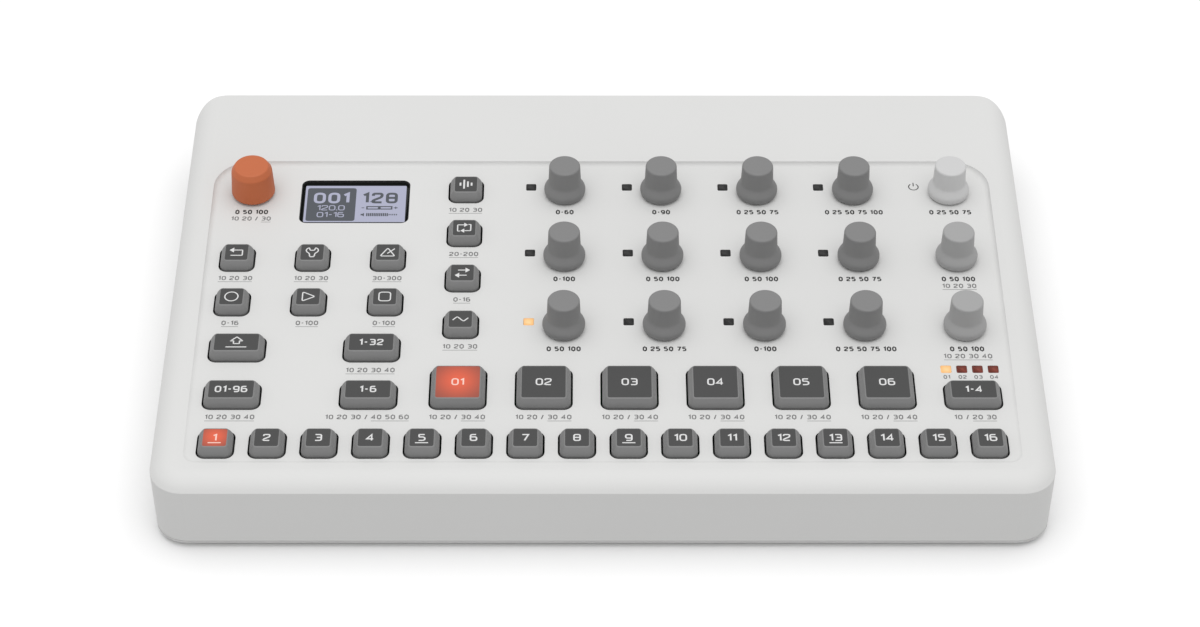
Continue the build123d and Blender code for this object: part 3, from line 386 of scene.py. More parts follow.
# Screen of dark dots on a pale blue-violet backlight
SCREEN_LIT = Screen("lcd_lit_field", "BBBDD3", "A6A8BE", dot=0.26)
SCREEN_DARK = Screen("lcd_dark_dots", "53575E", "484C53", dot=0.26)
# White seamless paper: matt and even
FLOOR_PAPER = Moulded("white_seamless_paper", "F6F6F6", "F4F4F4", 0.9, grain=1.5, relief=0.01, cloud=200.0)


class KnobTone(Enum):
    """The three greys of the flared knobs, with their finish and the record's slot."""

    DARK = (KNOB_DARK, "knob_dark")
    MID = (KNOB_MID, "knob_mid")
    PALE = (KNOB_PALE, "knob_pale")


def baked(holder: bpy.types.Object) -> bpy.types.Mesh:
    """Turns an object with live modifiers to a plain mesh, and removes the object.

    Args:
        holder: The object that carries the modifiers.

    Returns:
        The finished mesh.
    """
    depsgraph = bpy.context.evaluated_depsgraph_get()
    mesh = bpy.data.meshes.new_from_object(holder.evaluated_get(depsgraph))
    holder.modifiers.clear()
    bpy.data.objects.remove(holder)
    return mesh


def set_inputs(modifier: bpy.types.NodesModifier, values: dict) -> None:
    """Sets a Geometry Nodes modifier's named inputs.

    Args:
        modifier: The modifier, with its tree.
        values: The values by input name.
    """
    for item in modifier.node_group.interface.items_tree:
        if item.in_out == "INPUT" and item.name in values:
            modifier[item.identifier] = values[item.name]


def start_tree(name: str, inputs: dict[str, str]) -> tuple[bpy.types.NodeTree, bpy.types.Node]:
    """Starts a Geometry Nodes tree with named inputs and one geometry output.

    Args:
        name: The tree's name.
        inputs: Each input's kind by its name.

    Returns:
        The tree and its input node.
    """
    tree = bpy.data.node_groups.new(name, "GeometryNodeTree")
    tree.interface.new_socket("Geometry", in_out="OUTPUT", socket_type="NodeSocketGeometry")
    for label, kind in {"Geometry": "Geometry", **inputs}.items():
        tree.interface.new_socket(label, in_out="INPUT", socket_type="NodeSocket" + kind)
    return tree, add_node(tree, "NodeGroupInput")


def end_tree(
    tree: bpy.types.NodeTree, geometry: bpy.types.NodeSocket, finish: bpy.types.NodeSocket
) -> None:
    """Ends a Geometry Nodes tree in real, finished geometry.

    Args:
        tree: The tree.
        geometry: What the tree has made.
        finish: The material that it gets.
    """
    real = add_node(tree, "GeometryNodeRealizeInstances", inputs={"Geometry": geometry})
    dressed = add_node(
        tree, "GeometryNodeSetMaterial", inputs={"Geometry": real.outputs["Geometry"], "Material": finish}
    )
    add_node(tree, "NodeGroupOutput", inputs={"Geometry": dressed.outputs["Geometry"]})


def moulding_tree() -> bpy.types.NodeTree:
    """Gives the tree that sweeps a profile round a rounded rectangle or a circle.

    The host mesh's points are the profile: X is the inset from the outline, Z the height, and Y is the
    share by which that row is drawn in to the middle, which closes a top or a foot.

    Returns:
        The tree, made at the first call.
    """
    name = "swept_moulding"
    if name in bpy.data.node_groups:
        return bpy.data.node_groups[name]
    sizes = dict.fromkeys(("Width", "Depth", "Corner"), "Float")
    counts = dict.fromkeys(("Around", "Rows"), "Int")
    tree, given = start_tree(name, {**sizes, **counts, "Finish": "Material"})
    outline = add_node(
        tree,
        "GeometryNodeCurvePrimitiveQuadrilateral",
        {"mode": "RECTANGLE"},
        {"Width": given.outputs["Width"], "Height": given.outputs["Depth"]},
    )
    corners = {"Count": CORNER_STEPS, "Radius": given.outputs["Corner"], "Limit Radius": True}
    rounded = add_node(
        tree, "GeometryNodeFilletCurve", {"mode": "POLY"}, {"Curve": outline.outputs["Curve"], **corners}
    )
    columns = add_node(tree, "ShaderNodeMath", {"operation": "ADD"}, {0: given.outputs["Around"], 1: 1.0})
    spots = {"Vertices X": columns.outputs["Value"], "Vertices Y": given.outputs["Rows"]}
    sheet = add_node(tree, "GeometryNodeMeshGrid", inputs={"Size X": 1.0, "Size Y": 1.0, **spots})
    spot = add_node(
        tree,
        "ShaderNodeVectorMath",
        {"operation": "ADD"},
        {0: add_node(tree, "GeometryNodeInputPosition").outputs["Position"], 1: (0.5, 0.5, 0.0)},
    )
    share = add_node(tree, "ShaderNodeSeparateXYZ", inputs={"Vector": spot.outputs["Vector"]})
    on_outline = add_node(
        tree,
        "GeometryNodeSampleCurve",
        {"mode": "FACTOR"},
        {"Curves": rounded.outputs["Curve"], "Factor": share.outputs["X"]},
    )
    last_row = add_node(
        tree, "ShaderNodeMath", {"operation": "SUBTRACT"}, {0: given.outputs["Rows"], 1: 1.0}
    )
    row = add_node(
        tree,
        "ShaderNodeMath",
        {"operation": "MULTIPLY_ADD"},
        {0: share.outputs["Y"], 1: last_row.outputs["Value"], 2: 0.5},
    )
    profile = add_node(
        tree,
        "GeometryNodeSampleIndex",
        {"data_type": "FLOAT_VECTOR", "domain": "POINT"},
        {
            "Geometry": given.outputs["Geometry"],
            "Value": add_node(tree, "GeometryNodeInputPosition").outputs["Position"],
            "Index": row.outputs["Value"],
        },
    )
    drawn = add_node(tree, "ShaderNodeSeparateXYZ", inputs={"Vector": profile.outputs["Value"]})
    inward = add_node(
        tree,
        "ShaderNodeVectorMath",
        {"operation": "CROSS_PRODUCT"},
        {0: (0.0, 0.0, 1.0), 1: on_outline.outputs["Tangent"]},
    )
    inset = add_node(
        tree,
        "ShaderNodeVectorMath",
        {"operation": "SCALE"},
        {0: inward.outputs["Vector"], "Scale": drawn.outputs["X"]},
    )
    ring = add_node(
        tree,
        "ShaderNodeVectorMath",
        {"operation": "ADD"},
        {0: on_outline.outputs["Position"], 1: inset.outputs["Vector"]},
    )
    kept = add_node(tree, "ShaderNodeMath", {"operation": "SUBTRACT"}, {0: 1.0, 1: drawn.outputs["Y"]})
    closed = add_node(
        tree,
        "ShaderNodeVectorMath",
        {"operation": "SCALE"},
        {0: ring.outputs["Vector"], "Scale": kept.outputs["Value"]},
    )
    lift = add_node(tree, "ShaderNodeCombineXYZ", inputs={"Z": drawn.outputs["Z"]})
    lifted = add_node(
        tree,
        "ShaderNodeVectorMath",
        {"operation": "ADD"},
        {0: closed.outputs["Vector"], 1: lift.outputs["Vector"]},
    )
    shaped = add_node(
        tree,
        "GeometryNodeSetPosition",
        inputs={"Geometry": sheet.outputs["Mesh"], "Position": lifted.outputs["Vector"]},
    )
    welded = add_node(
        tree,
        "GeometryNodeMergeByDistance",
        inputs={"Geometry": shaped.outputs["Geometry"], "Distance": WELD},
    )
    end_tree(tree, welded.outputs["Geometry"], given.outputs["Finish"])
    return tree


def copies_tree() -> bpy.types.NodeTree:
    """Gives the tree that sets copies of one part out on the host mesh's points.

    Returns:
        The tree, made at the first call.
    """
    name = "set_out_copies"
    if name in bpy.data.node_groups:
        return bpy.data.node_groups[name]
    tree, given = start_tree(name, {"Part": "Object", "Finish": "Material"})
    part = add_node(tree, "GeometryNodeObjectInfo", inputs={"Object": given.outputs["Part"]})
    copies = add_node(
        tree,
        "GeometryNodeInstanceOnPoints",
        inputs={"Points": given.outputs["Geometry"], "Instance": part.outputs["Geometry"]},
    )
    end_tree(tree, copies.outputs["Instances"], given.outputs["Finish"])
    return tree


def outward(mesh: bpy.types.Mesh) -> bpy.types.Mesh:
    """Turns a closed mesh's faces outwards.

    Args:
        mesh: The mesh, which is changed.

    Returns:
        The same mesh.
    """
    form = bmesh.new()
    form.from_mesh(mesh)
    bmesh.ops.remove_doubles(form, verts=form.verts, dist=WELD)
    bmesh.ops.recalc_face_normals(form, faces=form.faces)
    form.to_mesh(mesh)
    form.free()
    return mesh


@dataclass(frozen=True)
class Moulding:
    """A closed form with one profile all round: inset, height and share drawn in for each row."""

    width: float
    depth: float
    corner: float
    profile: tuple[Row, ...]
    around: int = 128

    def mesh(self, finish: Finish) -> bpy.types.Mesh:
        """Sweeps the profile.

        Args:
            finish: The form's finish.

        Returns:
            The mesh, about the origin.
        """
        host = bpy.data.meshes.new("profile")
        points = [(inset * MM, drawn, height * MM) for inset, height, drawn in self.profile]
        host.from_pydata(points, [], [])
        holder = bpy.data.objects.new("moulding", host)
        bpy.context.scene.collection.objects.link(holder)
        modifier = holder.modifiers.new("sweep", "NODES")
        modifier.node_group = moulding_tree()
        set_inputs(
            modifier,
            {
                "Width": self.width * MM,
                "Depth": self.depth * MM,
                "Corner": self.corner * MM,
                "Around": self.around,
                "Rows": len(self.profile),
                "Finish": finish.material(),
            },
        )
        return outward(baked(holder))


def copies(part: bpy.types.Mesh, points: Sequence[Vector], finish: Finish) -> bpy.types.Mesh:
    """Sets copies of a part out on points.

    Args:
        part: The mesh of one copy, about the origin.
        points: Where the copies go, in metres.
        finish: The copies' finish.

    Returns:
        One mesh of all the copies.
    """
    pattern = bpy.data.objects.new("pattern_part", part)
    host = bpy.data.meshes.new("places")
    host.from_pydata([tuple(p) for p in points], [], [])
    holder = bpy.data.objects.new("copies", host)
    for helper in (pattern, holder):
        bpy.context.scene.collection.objects.link(helper)
    modifier = holder.modifiers.new("set_out", "NODES")
    modifier.node_group = copies_tree()
    set_inputs(modifier, {"Part": pattern, "Finish": finish.material()})
    mesh = baked(holder)
    bpy.data.objects.remove(pattern)
    return mesh


def arc_rows(inset: float, height: float, radius: float, steps: int = 8) -> list[Row]:
    """Gives the rows of a quarter-round top edge.

    Args:
        inset: Inset of the wall below the edge.
        height: Height of the top above it.
        radius: Radius of the edge.
        steps: Number of stretches.

    Returns:
        The rows, from the wall to the top.
    """
    turns = [0.5 * math.pi * i / steps for i in range(steps + 1)]
    return [
        (inset + radius * (1.0 - math.cos(turn)), height - radius * (1.0 - math.sin(turn)), 0.0)
        for turn in turns
    ]


def soften(points: Sequence[Point], radius: float, closed: bool, steps: int = 5) -> list[Point]:
    """Rounds the corners of a line.

    Args:
        points: The line's corners.
        radius: How far each rounding reaches along the line.
        closed: Whether the last corner joins the first.
        steps: Number of stretches in each rounding.

    Returns:
        The points of the rounded line.
    """
    corners = [Vector(p) for p in points]
    line: list[Point] = []
    for i, corner in enumerate(corners):
        if not closed and i in (0, len(corners) - 1):
            line.append(tuple(corner))
            continue
        before = corners[i - 1] - corner
        after = corners[(i + 1) % len(corners)] - corner
        start = corner + before.normalized() * min(radius, before.length / 2.0)
        end = corner + after.normalized() * min(radius, after.length / 2.0)
        for step in range(steps + 1):
            t = step / steps
            line.append(tuple(start * (1 - t) ** 2 + corner * 2 * t * (1 - t) + end * t**2))
    return line


def flat_mesh(loops: Sequence[Sequence[Point]], finish: Finish) -> bpy.types.Mesh:
    """Makes flat faces.

    Args:
        loops: Each face's corners, in order.
        finish: The faces' finish.

    Returns:
        The mesh, at height zero and facing up.
    """
    form = bmesh.new()
    for loop in loops:
        face = form.faces.new([form.verts.new((x * MM, y * MM, 0.0)) for x, y in loop])
        face.normal_update()
        if face.normal.z < 0.0:
            face.normal_flip()
    mesh = bpy.data.meshes.new("flat")
    form.to_mesh(mesh)
    form.free()
    mesh.materials.append(finish.material())
    return mesh


def stroke(points: Sequence[Point], width: float, closed: bool) -> list[list[Point]]:
    """Gives the faces of a line with width and mitred corners.

    Args:
        points: The line's points.
        width: The line's width.
        closed: Whether the last point joins the first.

    Returns:
        The corners of each face.
    """
    line = [Vector(p) for p in points]
    count = len(line)
    sides: list[tuple[Vector, Vector]] = []
    for i, point in enumerate(line):
        before = point - line[i - 1] if closed or i > 0 else line[1] - line[0]
        after = line[(i + 1) % count] - point if closed or i < count - 1 else line[-1] - line[-2]
        square = [Vector((-d.y, d.x)).normalized() for d in (before, after)]
        mitre = (square[0] + square[1]).normalized()
        reach = 0.5 * width / max(mitre.dot(square[0]), MITRE_LIMIT)
        sides.append((point + mitre * reach, point - mitre * reach))
    faces = []
    for i in range(count if closed else count - 1):
        here, there = sides[i], sides[(i + 1) % count]
        faces.append([tuple(here[0]), tuple(there[0]), tuple(there[1]), tuple(here[1])])
    return faces


def line_faces(
    lines: Sequence[Sequence[Point]], rings: Sequence[Sequence[Point]], rounding: float, width: float
) -> list[list[Point]]:
    """Gives the faces of open and closed lines.

    Args:
        lines: The corners of each open line.
        rings: The corners of each closed line.
        rounding: How far the rounding of a corner reaches, or zero for sharp corners.
        width: The lines' width.

    Returns:
        The corners of each face.
    """
    faces: list[list[Point]] = []
    for points, closed in [*((line, False) for line in lines), *((ring, True) for ring in rings)]:
        faces += stroke(soften(points, rounding, closed) if rounding else points, width, closed)
    return faces


@dataclass(frozen=True)
class Figure:
    """A figure's lines on a grid that is six units high."""

    width: float
    lines: tuple[tuple[Point, ...], ...] = ()
    rings: tuple[tuple[Point, ...], ...] = ()
    rounding: float = 0.0


FIGURE_GRID = 6.0
FIGURES = {
    "0": Figure(4.0, rings=(((0.0, 0.0), (4.0, 0.0), (4.0, 6.0), (0.0, 6.0)),), rounding=1.9),
    "1": Figure(1.7, lines=(((0.0, 4.9), (1.7, 6.0), (1.7, 0.0)),)),
    "2": Figure(
        4.0,
        lines=(((0.1, 4.5), (0.1, 6.0), (4.0, 6.0), (4.0, 3.7), (0.0, 1.3), (0.0, 0.0), (4.0, 0.0)),),
        rounding=1.1,
    ),
    "3": Figure(
        4.0,
        lines=(((0.0, 6.0), (4.0, 6.0), (4.0, 0.0), (0.0, 0.0)), ((1.0, 3.1), (3.5, 3.1))),
        rounding=1.5,
    ),
    "4": Figure(4.3, lines=(((3.2, 0.0), (3.2, 6.0), (0.0, 1.6), (2.7, 1.6)), ((3.7, 1.6), (4.3, 1.6)))),
    "5": Figure(
        4.0,
        lines=(
            (
                (3.8, 6.0),
                (0.2, 6.0),
                (0.2, 3.5),
                (2.9, 3.5),
                (4.0, 2.6),
                (4.0, 0.9),
                (2.9, 0.0),
                (0.0, 0.0),
            ),
        ),
        rounding=0.5,
    ),
    "6": Figure(
        4.0,
        lines=(((3.6, 6.0), (0.0, 6.0), (0.0, 0.0), (4.0, 0.0), (4.0, 3.6), (0.5, 3.6)),),
        rounding=1.5,
    ),
    "7": Figure(4.0, lines=(((0.0, 6.0), (4.0, 6.0), (1.5, 0.0)),)),
    "8": Figure(
        4.0,
        lines=(((0.5, 3.1), (3.5, 3.1)),),
        rings=(((0.0, 0.0), (4.0, 0.0), (4.0, 6.0), (0.0, 6.0)),),
        rounding=1.5,
    ),
    "9": Figure(
        4.0,
        lines=(((0.4, 0.0), (4.0, 0.0), (4.0, 6.0), (0.0, 6.0), (0.0, 2.4), (3.5, 2.4)),),
        rounding=1.5,
    ),
    "-": Figure(2.0, lines=(((0.0, 3.0), (2.0, 3.0)),)),
    "+": Figure(3.0, lines=(((0.0, 3.0), (3.0, 3.0)), ((1.5, 1.5), (1.5, 2.5)), ((1.5, 3.5), (1.5, 4.5)))),
    "/": Figure(2.2, lines=(((0.0, -0.4), (2.2, 6.4)),)),
    ".": Figure(0.0, lines=(((0.0, -0.5), (0.0, 0.6)),)),
    " ": Figure(0.5),
}


@dataclass(frozen=True)
class Lettering:
    """A height, a line width and a stretch of the plain figures."""

    height: float
    weight: float
    stretch: float = 1.0
    gap: float = 0.8

    def faces(self, text: str) -> tuple[list[list[Point]], float]:
        """Draws a row of figures about the origin.

        Args:
            text: What it says.

        Returns:
            The corners of each face, and the row's width.
        """
        unit = (self.height - self.weight) / FIGURE_GRID
        wide = unit * self.stretch
        half = FIGURE_GRID / 2.0
        step = (1.0 + self.gap) * self.weight
        faces: list[list[Point]] = []
        x = 0.0
        for letter in text:
            figure = FIGURES[letter]
            lines, rings = (
                [[(x + px * wide, (py - half) * unit) for px, py in line] for line in group]
                for group in (figure.lines, figure.rings)
            )
            faces += line_faces(lines, rings, figure.rounding * unit, self.weight)
            x += figure.width * wide + step
        middle = (x - step) / 2.0
        return [[(px - middle, py) for px, py in face] for face in faces], x - self.gap * self.weight


STEP_FIGURES = Lettering(2.95, 0.48, 1.1)
PAD_FIGURES = Lettering(3.0, 0.48, 1.05)
WIDE_FIGURES = Lettering(2.75, 0.48, 1.0)
LABEL_FIGURES = Lettering(2.05, 0.44, 0.85, 0.6)
NOTE_FIGURES = Lettering(1.95, 0.36, 0.95, 0.85)
PAGE_FIGURES = Lettering(1.6, 0.3, 0.95, 0.85)
SCREEN_LARGE = Lettering(5.3, 1.0, 1.0)
SCREEN_SMALL = Lettering(2.5, 0.34, 1.25)


@dataclass(frozen=True)
class Box:
    """A piece's corners in millimetres."""

    low: Vector
    high: Vector

    @property
    def size(self) -> Vector:
        """Width, depth and height."""
        return self.high - self.low

    @property
    def centre(self) -> Vector:
        """The middle of the box."""
        return (self.low + self.high) / 2.0


def node_box(node: str) -> Box:
    """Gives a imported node's box in millimetres."""
    low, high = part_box(node)
    return Box(low / MM, high / MM)


class Piece:
    """Gathers the meshes of one body in one object, with a material slot for each finish."""

    def __init__(self, name: str) -> None:
        """Starts an empty piece.

        Args:
            name: The piece's name.
        """
        self.name = name
        self.form = bmesh.new()
        self.materials: list[bpy.types.Material] = []

    def slot_of(self, material: bpy.types.Material) -> int:
        """Finds a material's slot, and adds the slot if it is new.

        Args:
            material: The material.

        Returns:
            The slot's number.
        """
        if material not in self.materials:
            self.materials.append(material)
        return self.materials.index(material)

    def add(self, mesh: bpy.types.Mesh, place: Sequence[float] = (0.0, 0.0, 0.0)) -> None:
        """Adds a mesh.

        Args:
            mesh: The mesh, with its material.
            place: How far it is moved, in millimetres.
        """
        copy = mesh.copy()
        copy.transform(Matrix.Translation(Vector(place) * MM))
        slots = [self.slot_of(material) if material else 0 for material in mesh.materials]
        known = len(self.form.faces)
        self.form.from_mesh(copy)
        self.form.faces.ensure_lookup_table()
        for face in self.form.faces[known:]:
            face.material_index = slots[face.material_index]
        bpy.data.meshes.remove(copy)

    def add_packed(self, node: str, choose: Callable[[Box], Finish]) -> None:
        """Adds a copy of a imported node, whose solids each get a finish.

        Args:
            node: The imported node.
            choose: Gives the finish for a solid of that box.
        """
        copy = bmesh.new()
        copy.from_mesh(frame["nodes"][node].data)
        bmesh.ops.remove_doubles(copy, verts=copy.verts, dist=WELD)
        left = set(copy.faces)
        while left:
            solid = {left.pop()}
            edge = list(solid)
            while edge:
                face = edge.pop()
                near = {f for e in face.edges for f in e.link_faces if f in left}
                left -= near
                solid |= near
                edge.extend(near)
            spots = [v.co / MM for f in solid for v in f.verts]
            low = Vector([min(s[i] for s in spots) for i in range(3)])
            high = Vector([max(s[i] for s in spots) for i in range(3)])
            slot = self.slot_of(choose(Box(low, high)).material())
            for face in solid:
                face.material_index = slot
        mesh = bpy.data.meshes.new("copy")
        copy.to_mesh(mesh)
        copy.free()
        self.form.from_mesh(mesh)
        bpy.data.meshes.remove(mesh)

    def finish(self, body: str, slot: str, *nodes: str) -> bpy.types.Object:
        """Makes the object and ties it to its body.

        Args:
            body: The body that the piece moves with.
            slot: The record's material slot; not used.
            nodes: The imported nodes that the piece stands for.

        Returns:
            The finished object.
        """
        mesh = bpy.data.meshes.new(self.name)
        self.form.to_mesh(mesh)
        self.form.free()
        for material in self.materials:
            mesh.materials.append(material)
        mesh.polygons.foreach_set("use_smooth", [True] * len(mesh.polygons))
        mesh.set_sharp_from_angle(angle=SHARP_ANGLE)
        holder = bpy.data.objects.new(self.name + "_draft", mesh)
        bpy.context.scene.collection.objects.link(holder)
        shading = holder.modifiers.new("even_shading", "WEIGHTED_NORMAL")
        shading.keep_sharp = True
        final = baked(holder)
        bpy.data.meshes.remove(mesh)
        final.name = self.name
        piece = bpy.data.objects.new(self.name, final)
        bpy.context.scene.collection.objects.link(piece)
        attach(piece, body)
        if nodes:
            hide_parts(*nodes)
        log.info("%s rides on %s: %d faces", self.name, body, len(final.polygons))
        return piece


@dataclass(frozen=True)
class Sign:
    """A plain sign for a key: lines, filled shapes and figures, about the middle of the window."""

    lines: tuple[tuple[Point, ...], ...] = ()
    rings: tuple[tuple[Point, ...], ...] = ()
    fills: tuple[tuple[Point, ...], ...] = ()
    figures: str = ""
    lettering: Lettering = WIDE_FIGURES
    underline: float = 0.0
    rounding: float = 0.7


def arrow_head(x: float, y: float, direction: float, size: float = 1.15) -> tuple[Point, ...]:
    """Gives a filled arrow head that points along X.

    Args:
        x: Where the tip is.
        y: The tip's height.
        direction: One to the right, minus one to the left.
        size: Half the head's width.

    Returns:
        Its corners.
    """
    foot = x - direction * size * ARROW_LENGTH
    return ((x, y), (foot, y + size), (foot, y - size))


def bar(x: float, y: float, width: float, height: float) -> tuple[Point, ...]:
    """Gives a filled bar about a point."""
    w, h = width / 2.0, height / 2.0
    return ((x - w, y - h), (x + w, y - h), (x + w, y + h), (x - w, y + h))


def ring_points(radius: float, count: int = 40) -> tuple[Point, ...]:
    """Gives the points of a circle."""
    turns = [2.0 * math.pi * i / count for i in range(count)]
    return tuple((radius * math.cos(t), radius * math.sin(t)) for t in turns)


KEY_SIGNS = {
    "back_key": Sign(
        lines=(((-1.1, 1.0), (1.85, 1.0), (1.85, -1.5), (-1.8, -1.5)),),
        fills=(arrow_head(-2.3, 1.0, -1.0),),
        rounding=0.3,
    ),
    "save_key": Sign(
        rings=(
            (
                (-1.0, 2.2),
                (-1.9, 1.4),
                (-1.9, 0.4),
                (-0.8, -0.7),
                (-0.8, -1.9),
                (0.0, -2.3),
                (0.8, -1.9),
                (0.8, -0.7),
                (1.9, 0.4),
                (1.9, 1.4),
                (1.0, 2.2),
                (0.7, 0.9),
                (-0.7, 0.9),
            ),
        ),
        rounding=0.45,
    ),
    "tempo_key": Sign(
        lines=(((-0.1, -0.6), (2.2, 1.7)),), rings=(((-2.3, -1.8), (2.3, -1.8), (0.0, 2.0)),), rounding=0.6
    ),
    "record_key": Sign(rings=(ring_points(2.05),), rounding=0.0),
    "play_key": Sign(rings=(((-1.75, -2.1), (2.15, 0.0), (-1.75, 2.1)),)),
    "stop_key": Sign(rings=(((-1.8, -2.0), (1.8, -2.0), (1.8, 2.0), (-1.8, 2.0)),), rounding=1.0),
    "mode_key_1": Sign(
        fills=tuple(bar(x, 0.0, 0.58, h) for x, h in ((-1.8, 1.5), (-0.6, 4.4), (0.6, 2.7), (1.8, 1.5)))
    ),
    "mode_key_2": Sign(
        lines=(
            ((-1.3, -1.6), (-2.1, -1.6), (-2.1, 1.4), (-0.1, 1.4)),
            ((1.3, 1.6), (2.1, 1.6), (2.1, -1.4), (0.1, -1.4)),
        ),
        fills=(arrow_head(1.2, 1.4, 1.0, 1.0), arrow_head(-1.2, -1.4, -1.0, 1.0)),
        rounding=0.3,
    ),
    "mode_key_3": Sign(
        lines=(((-1.4, 1.2), (1.2, 1.2)), ((1.4, -1.2), (-1.2, -1.2))),
        fills=(arrow_head(2.4, 1.2, 1.0), arrow_head(-2.4, -1.2, -1.0)),
    ),
    "mode_key_4": Sign(lines=(((-2.4, -0.5), (-1.0, 1.1), (1.0, -1.1), (2.4, 0.5)),), rounding=0.6),
    "shift_key": Sign(
        rings=(((-1.9, 0.5), (0.0, 2.3), (1.9, 0.5), (0.9, 0.5), (0.9, -0.7), (-0.9, -0.7), (-0.9, 0.5)),),
        underline=6.4,
        rounding=0.15,
    ),
    "repeat_key": Sign(figures="1-32"),
    "pattern_key": Sign(figures="01-96"),
    "track_key": Sign(figures="1-6"),
    "page_key": Sign(figures="1-4"),
}


def key_nodes() -> list[str]:
    """Gives the nodes of all keys and pads, which are also their bodies."""
    return [body for body in frame["bodies"] if body.startswith(("step_key", "pad_")) or body in KEY_SIGNS]


@dataclass
class Keyboard:
    """Step keys, pads and function keys: a cap with sloping sides, its window and a printed sign."""

    lip: float = 1.45
    corner: float = 2.3
    side_rise: float = 1.25
    side_bend: float = 1.1
    slope: float = 1.35
    edge: float = 0.3
    border: float = 0.28
    groove: float = 0.14
    window_edge: float = 0.06
    window_edge_steps: int = 3
    window_around: int = 64
    foot_drop: float = 2.4
    panel: float = PANEL
    line: float = 0.39
    underline_drop: float = 2.2
    underline_width: float = 0.4
    print_layer: float = 0.006
    step_beat: int = 4
    step_underline: float = 3.9
    lit_keys: tuple[str, ...] = ("step_key_01", "pad_1")
    lit_middle: str = "E55E3C"
    lit_edge: str = "974939"
    lit_reach: float = 0.62
    lit_shift: float = 0.5
    meshes: dict[tuple, bpy.types.Mesh] = field(default_factory=dict)

    def cap(self, width: float, depth: float, top: float) -> bpy.types.Mesh:
        """Makes a cap with a pocket for its window.

        Args:
            width: Width of the cap.
            depth: Depth of the cap.
            top: Height of its top.

        Returns:
            The mesh, with its plan centred on the origin.
        """
        foot = self.panel - self.foot_drop
        inner = self.slope + self.border
        bend = (0.0, self.panel + self.side_rise)
        side = soften(((0.0, foot), bend, (self.slope, top)), self.side_bend, False)
        side = [*side[:-1], *soften((bend, (self.slope, top), (2.0 * inner, top)), self.edge, False)[1:-1]]
        rows = [(0.0, foot, 1.0), *((inset, height, 0.0) for inset, height in side)]
        rows += [(inner, top, 0.0), (inner, top - self.groove, 0.0), (inner, top - self.groove, 1.0)]
        return Moulding(width, depth, self.corner, tuple(rows)).mesh(KEY_ABS)

    def window(self, width: float, depth: float, top: float, finish: Finish) -> bpy.types.Mesh:
        """Makes a window that fills the cap's pocket.

        Args:
            width: Width of the cap.
            depth: Depth of the cap.
            top: Height of the cap's top.
            finish: The window's finish.

        Returns:
            The mesh, with its plan centred on the origin.
        """
        inner = self.slope + self.border
        foot = top - self.groove
        rows = [(0.0, foot, 1.0), (0.0, foot, 0.0)]
        rows += arc_rows(0.0, top, self.window_edge, self.window_edge_steps)
        rows += [(self.window_edge, top, 1.0)]
        size = (width - 2.0 * inner, depth - 2.0 * inner, self.corner - inner)
        return Moulding(*size, tuple(rows), self.window_around).mesh(finish)

    def add_sign(self, piece: Piece, sign: Sign, ink: Finish, place: Row) -> None:
        """Prints a sign in thin layers, so that no two of its faces share one height.

        Args:
            piece: The key's piece.
            sign: The sign.
            ink: Its finish.
            place: Middle of the window's top.
        """
        under = []
        if sign.underline:
            under = [bar(0.0, -self.underline_drop, sign.underline, self.underline_width)]
        layers = (
            line_faces((), sign.rings, sign.rounding, self.line),
            line_faces(sign.lines, (), sign.rounding, self.line),
            [*sign.fills, *under, *sign.lettering.faces(sign.figures)[0]],
        )
        for layer, faces in enumerate(layers, 1):
            if faces:
                piece.add(flat_mesh(faces, ink), (place[0], place[1], place[2] + layer * self.print_layer))

    def sign_of(self, node: str) -> Sign:
        """Chooses a key's sign.

        Args:
            node: The key's node.

        Returns:
            The sign.
        """
        if node.startswith("step_key"):
            number = int(node[-2:])
            underline = self.step_underline if number % self.step_beat == 1 else 0.0
            return Sign(figures=str(number), lettering=STEP_FIGURES, underline=underline)
        if node.startswith("pad"):
            return Sign(figures="0" + node[-1], lettering=PAD_FIGURES)
        return KEY_SIGNS[node]

    def build_key(self, node: str) -> None:
        """Builds and dresses one key.

        Args:
            node: The key's node, which is also its body.
        """
        box = node_box(node)
        width, depth = box.size.x, box.size.y - 2.0 * self.lip
        top = box.high.z
        middle = (box.centre.x, box.centre.y, 0.0)
        size = (round(width, 2), round(depth, 2))
        if size not in self.meshes:
            self.meshes[size] = self.cap(width, depth, top)
        piece = Piece(node + "_dressed")
        piece.add(self.meshes[size], middle)
        finish: Finish = WINDOW_PC
        if node in self.lit_keys:
            lamp = (middle[0], middle[1] + self.lit_shift)
            reach = (self.lit_reach * width, self.lit_reach * depth)
            finish = Glow("lit_window_" + node, self.lit_middle, self.lit_edge, lamp, reach)
        piece.add(self.window(width, depth, top, finish), middle)
        ink = INK_LIT if node in self.lit_keys else INK_WHITE
        self.add_sign(piece, self.sign_of(node), ink, (middle[0], middle[1], top))
        piece.finish(node, "key_grey", node)

    def build(self) -> None:
        """Builds every key of the record."""
        for node in key_nodes():
            self.build_key(node)


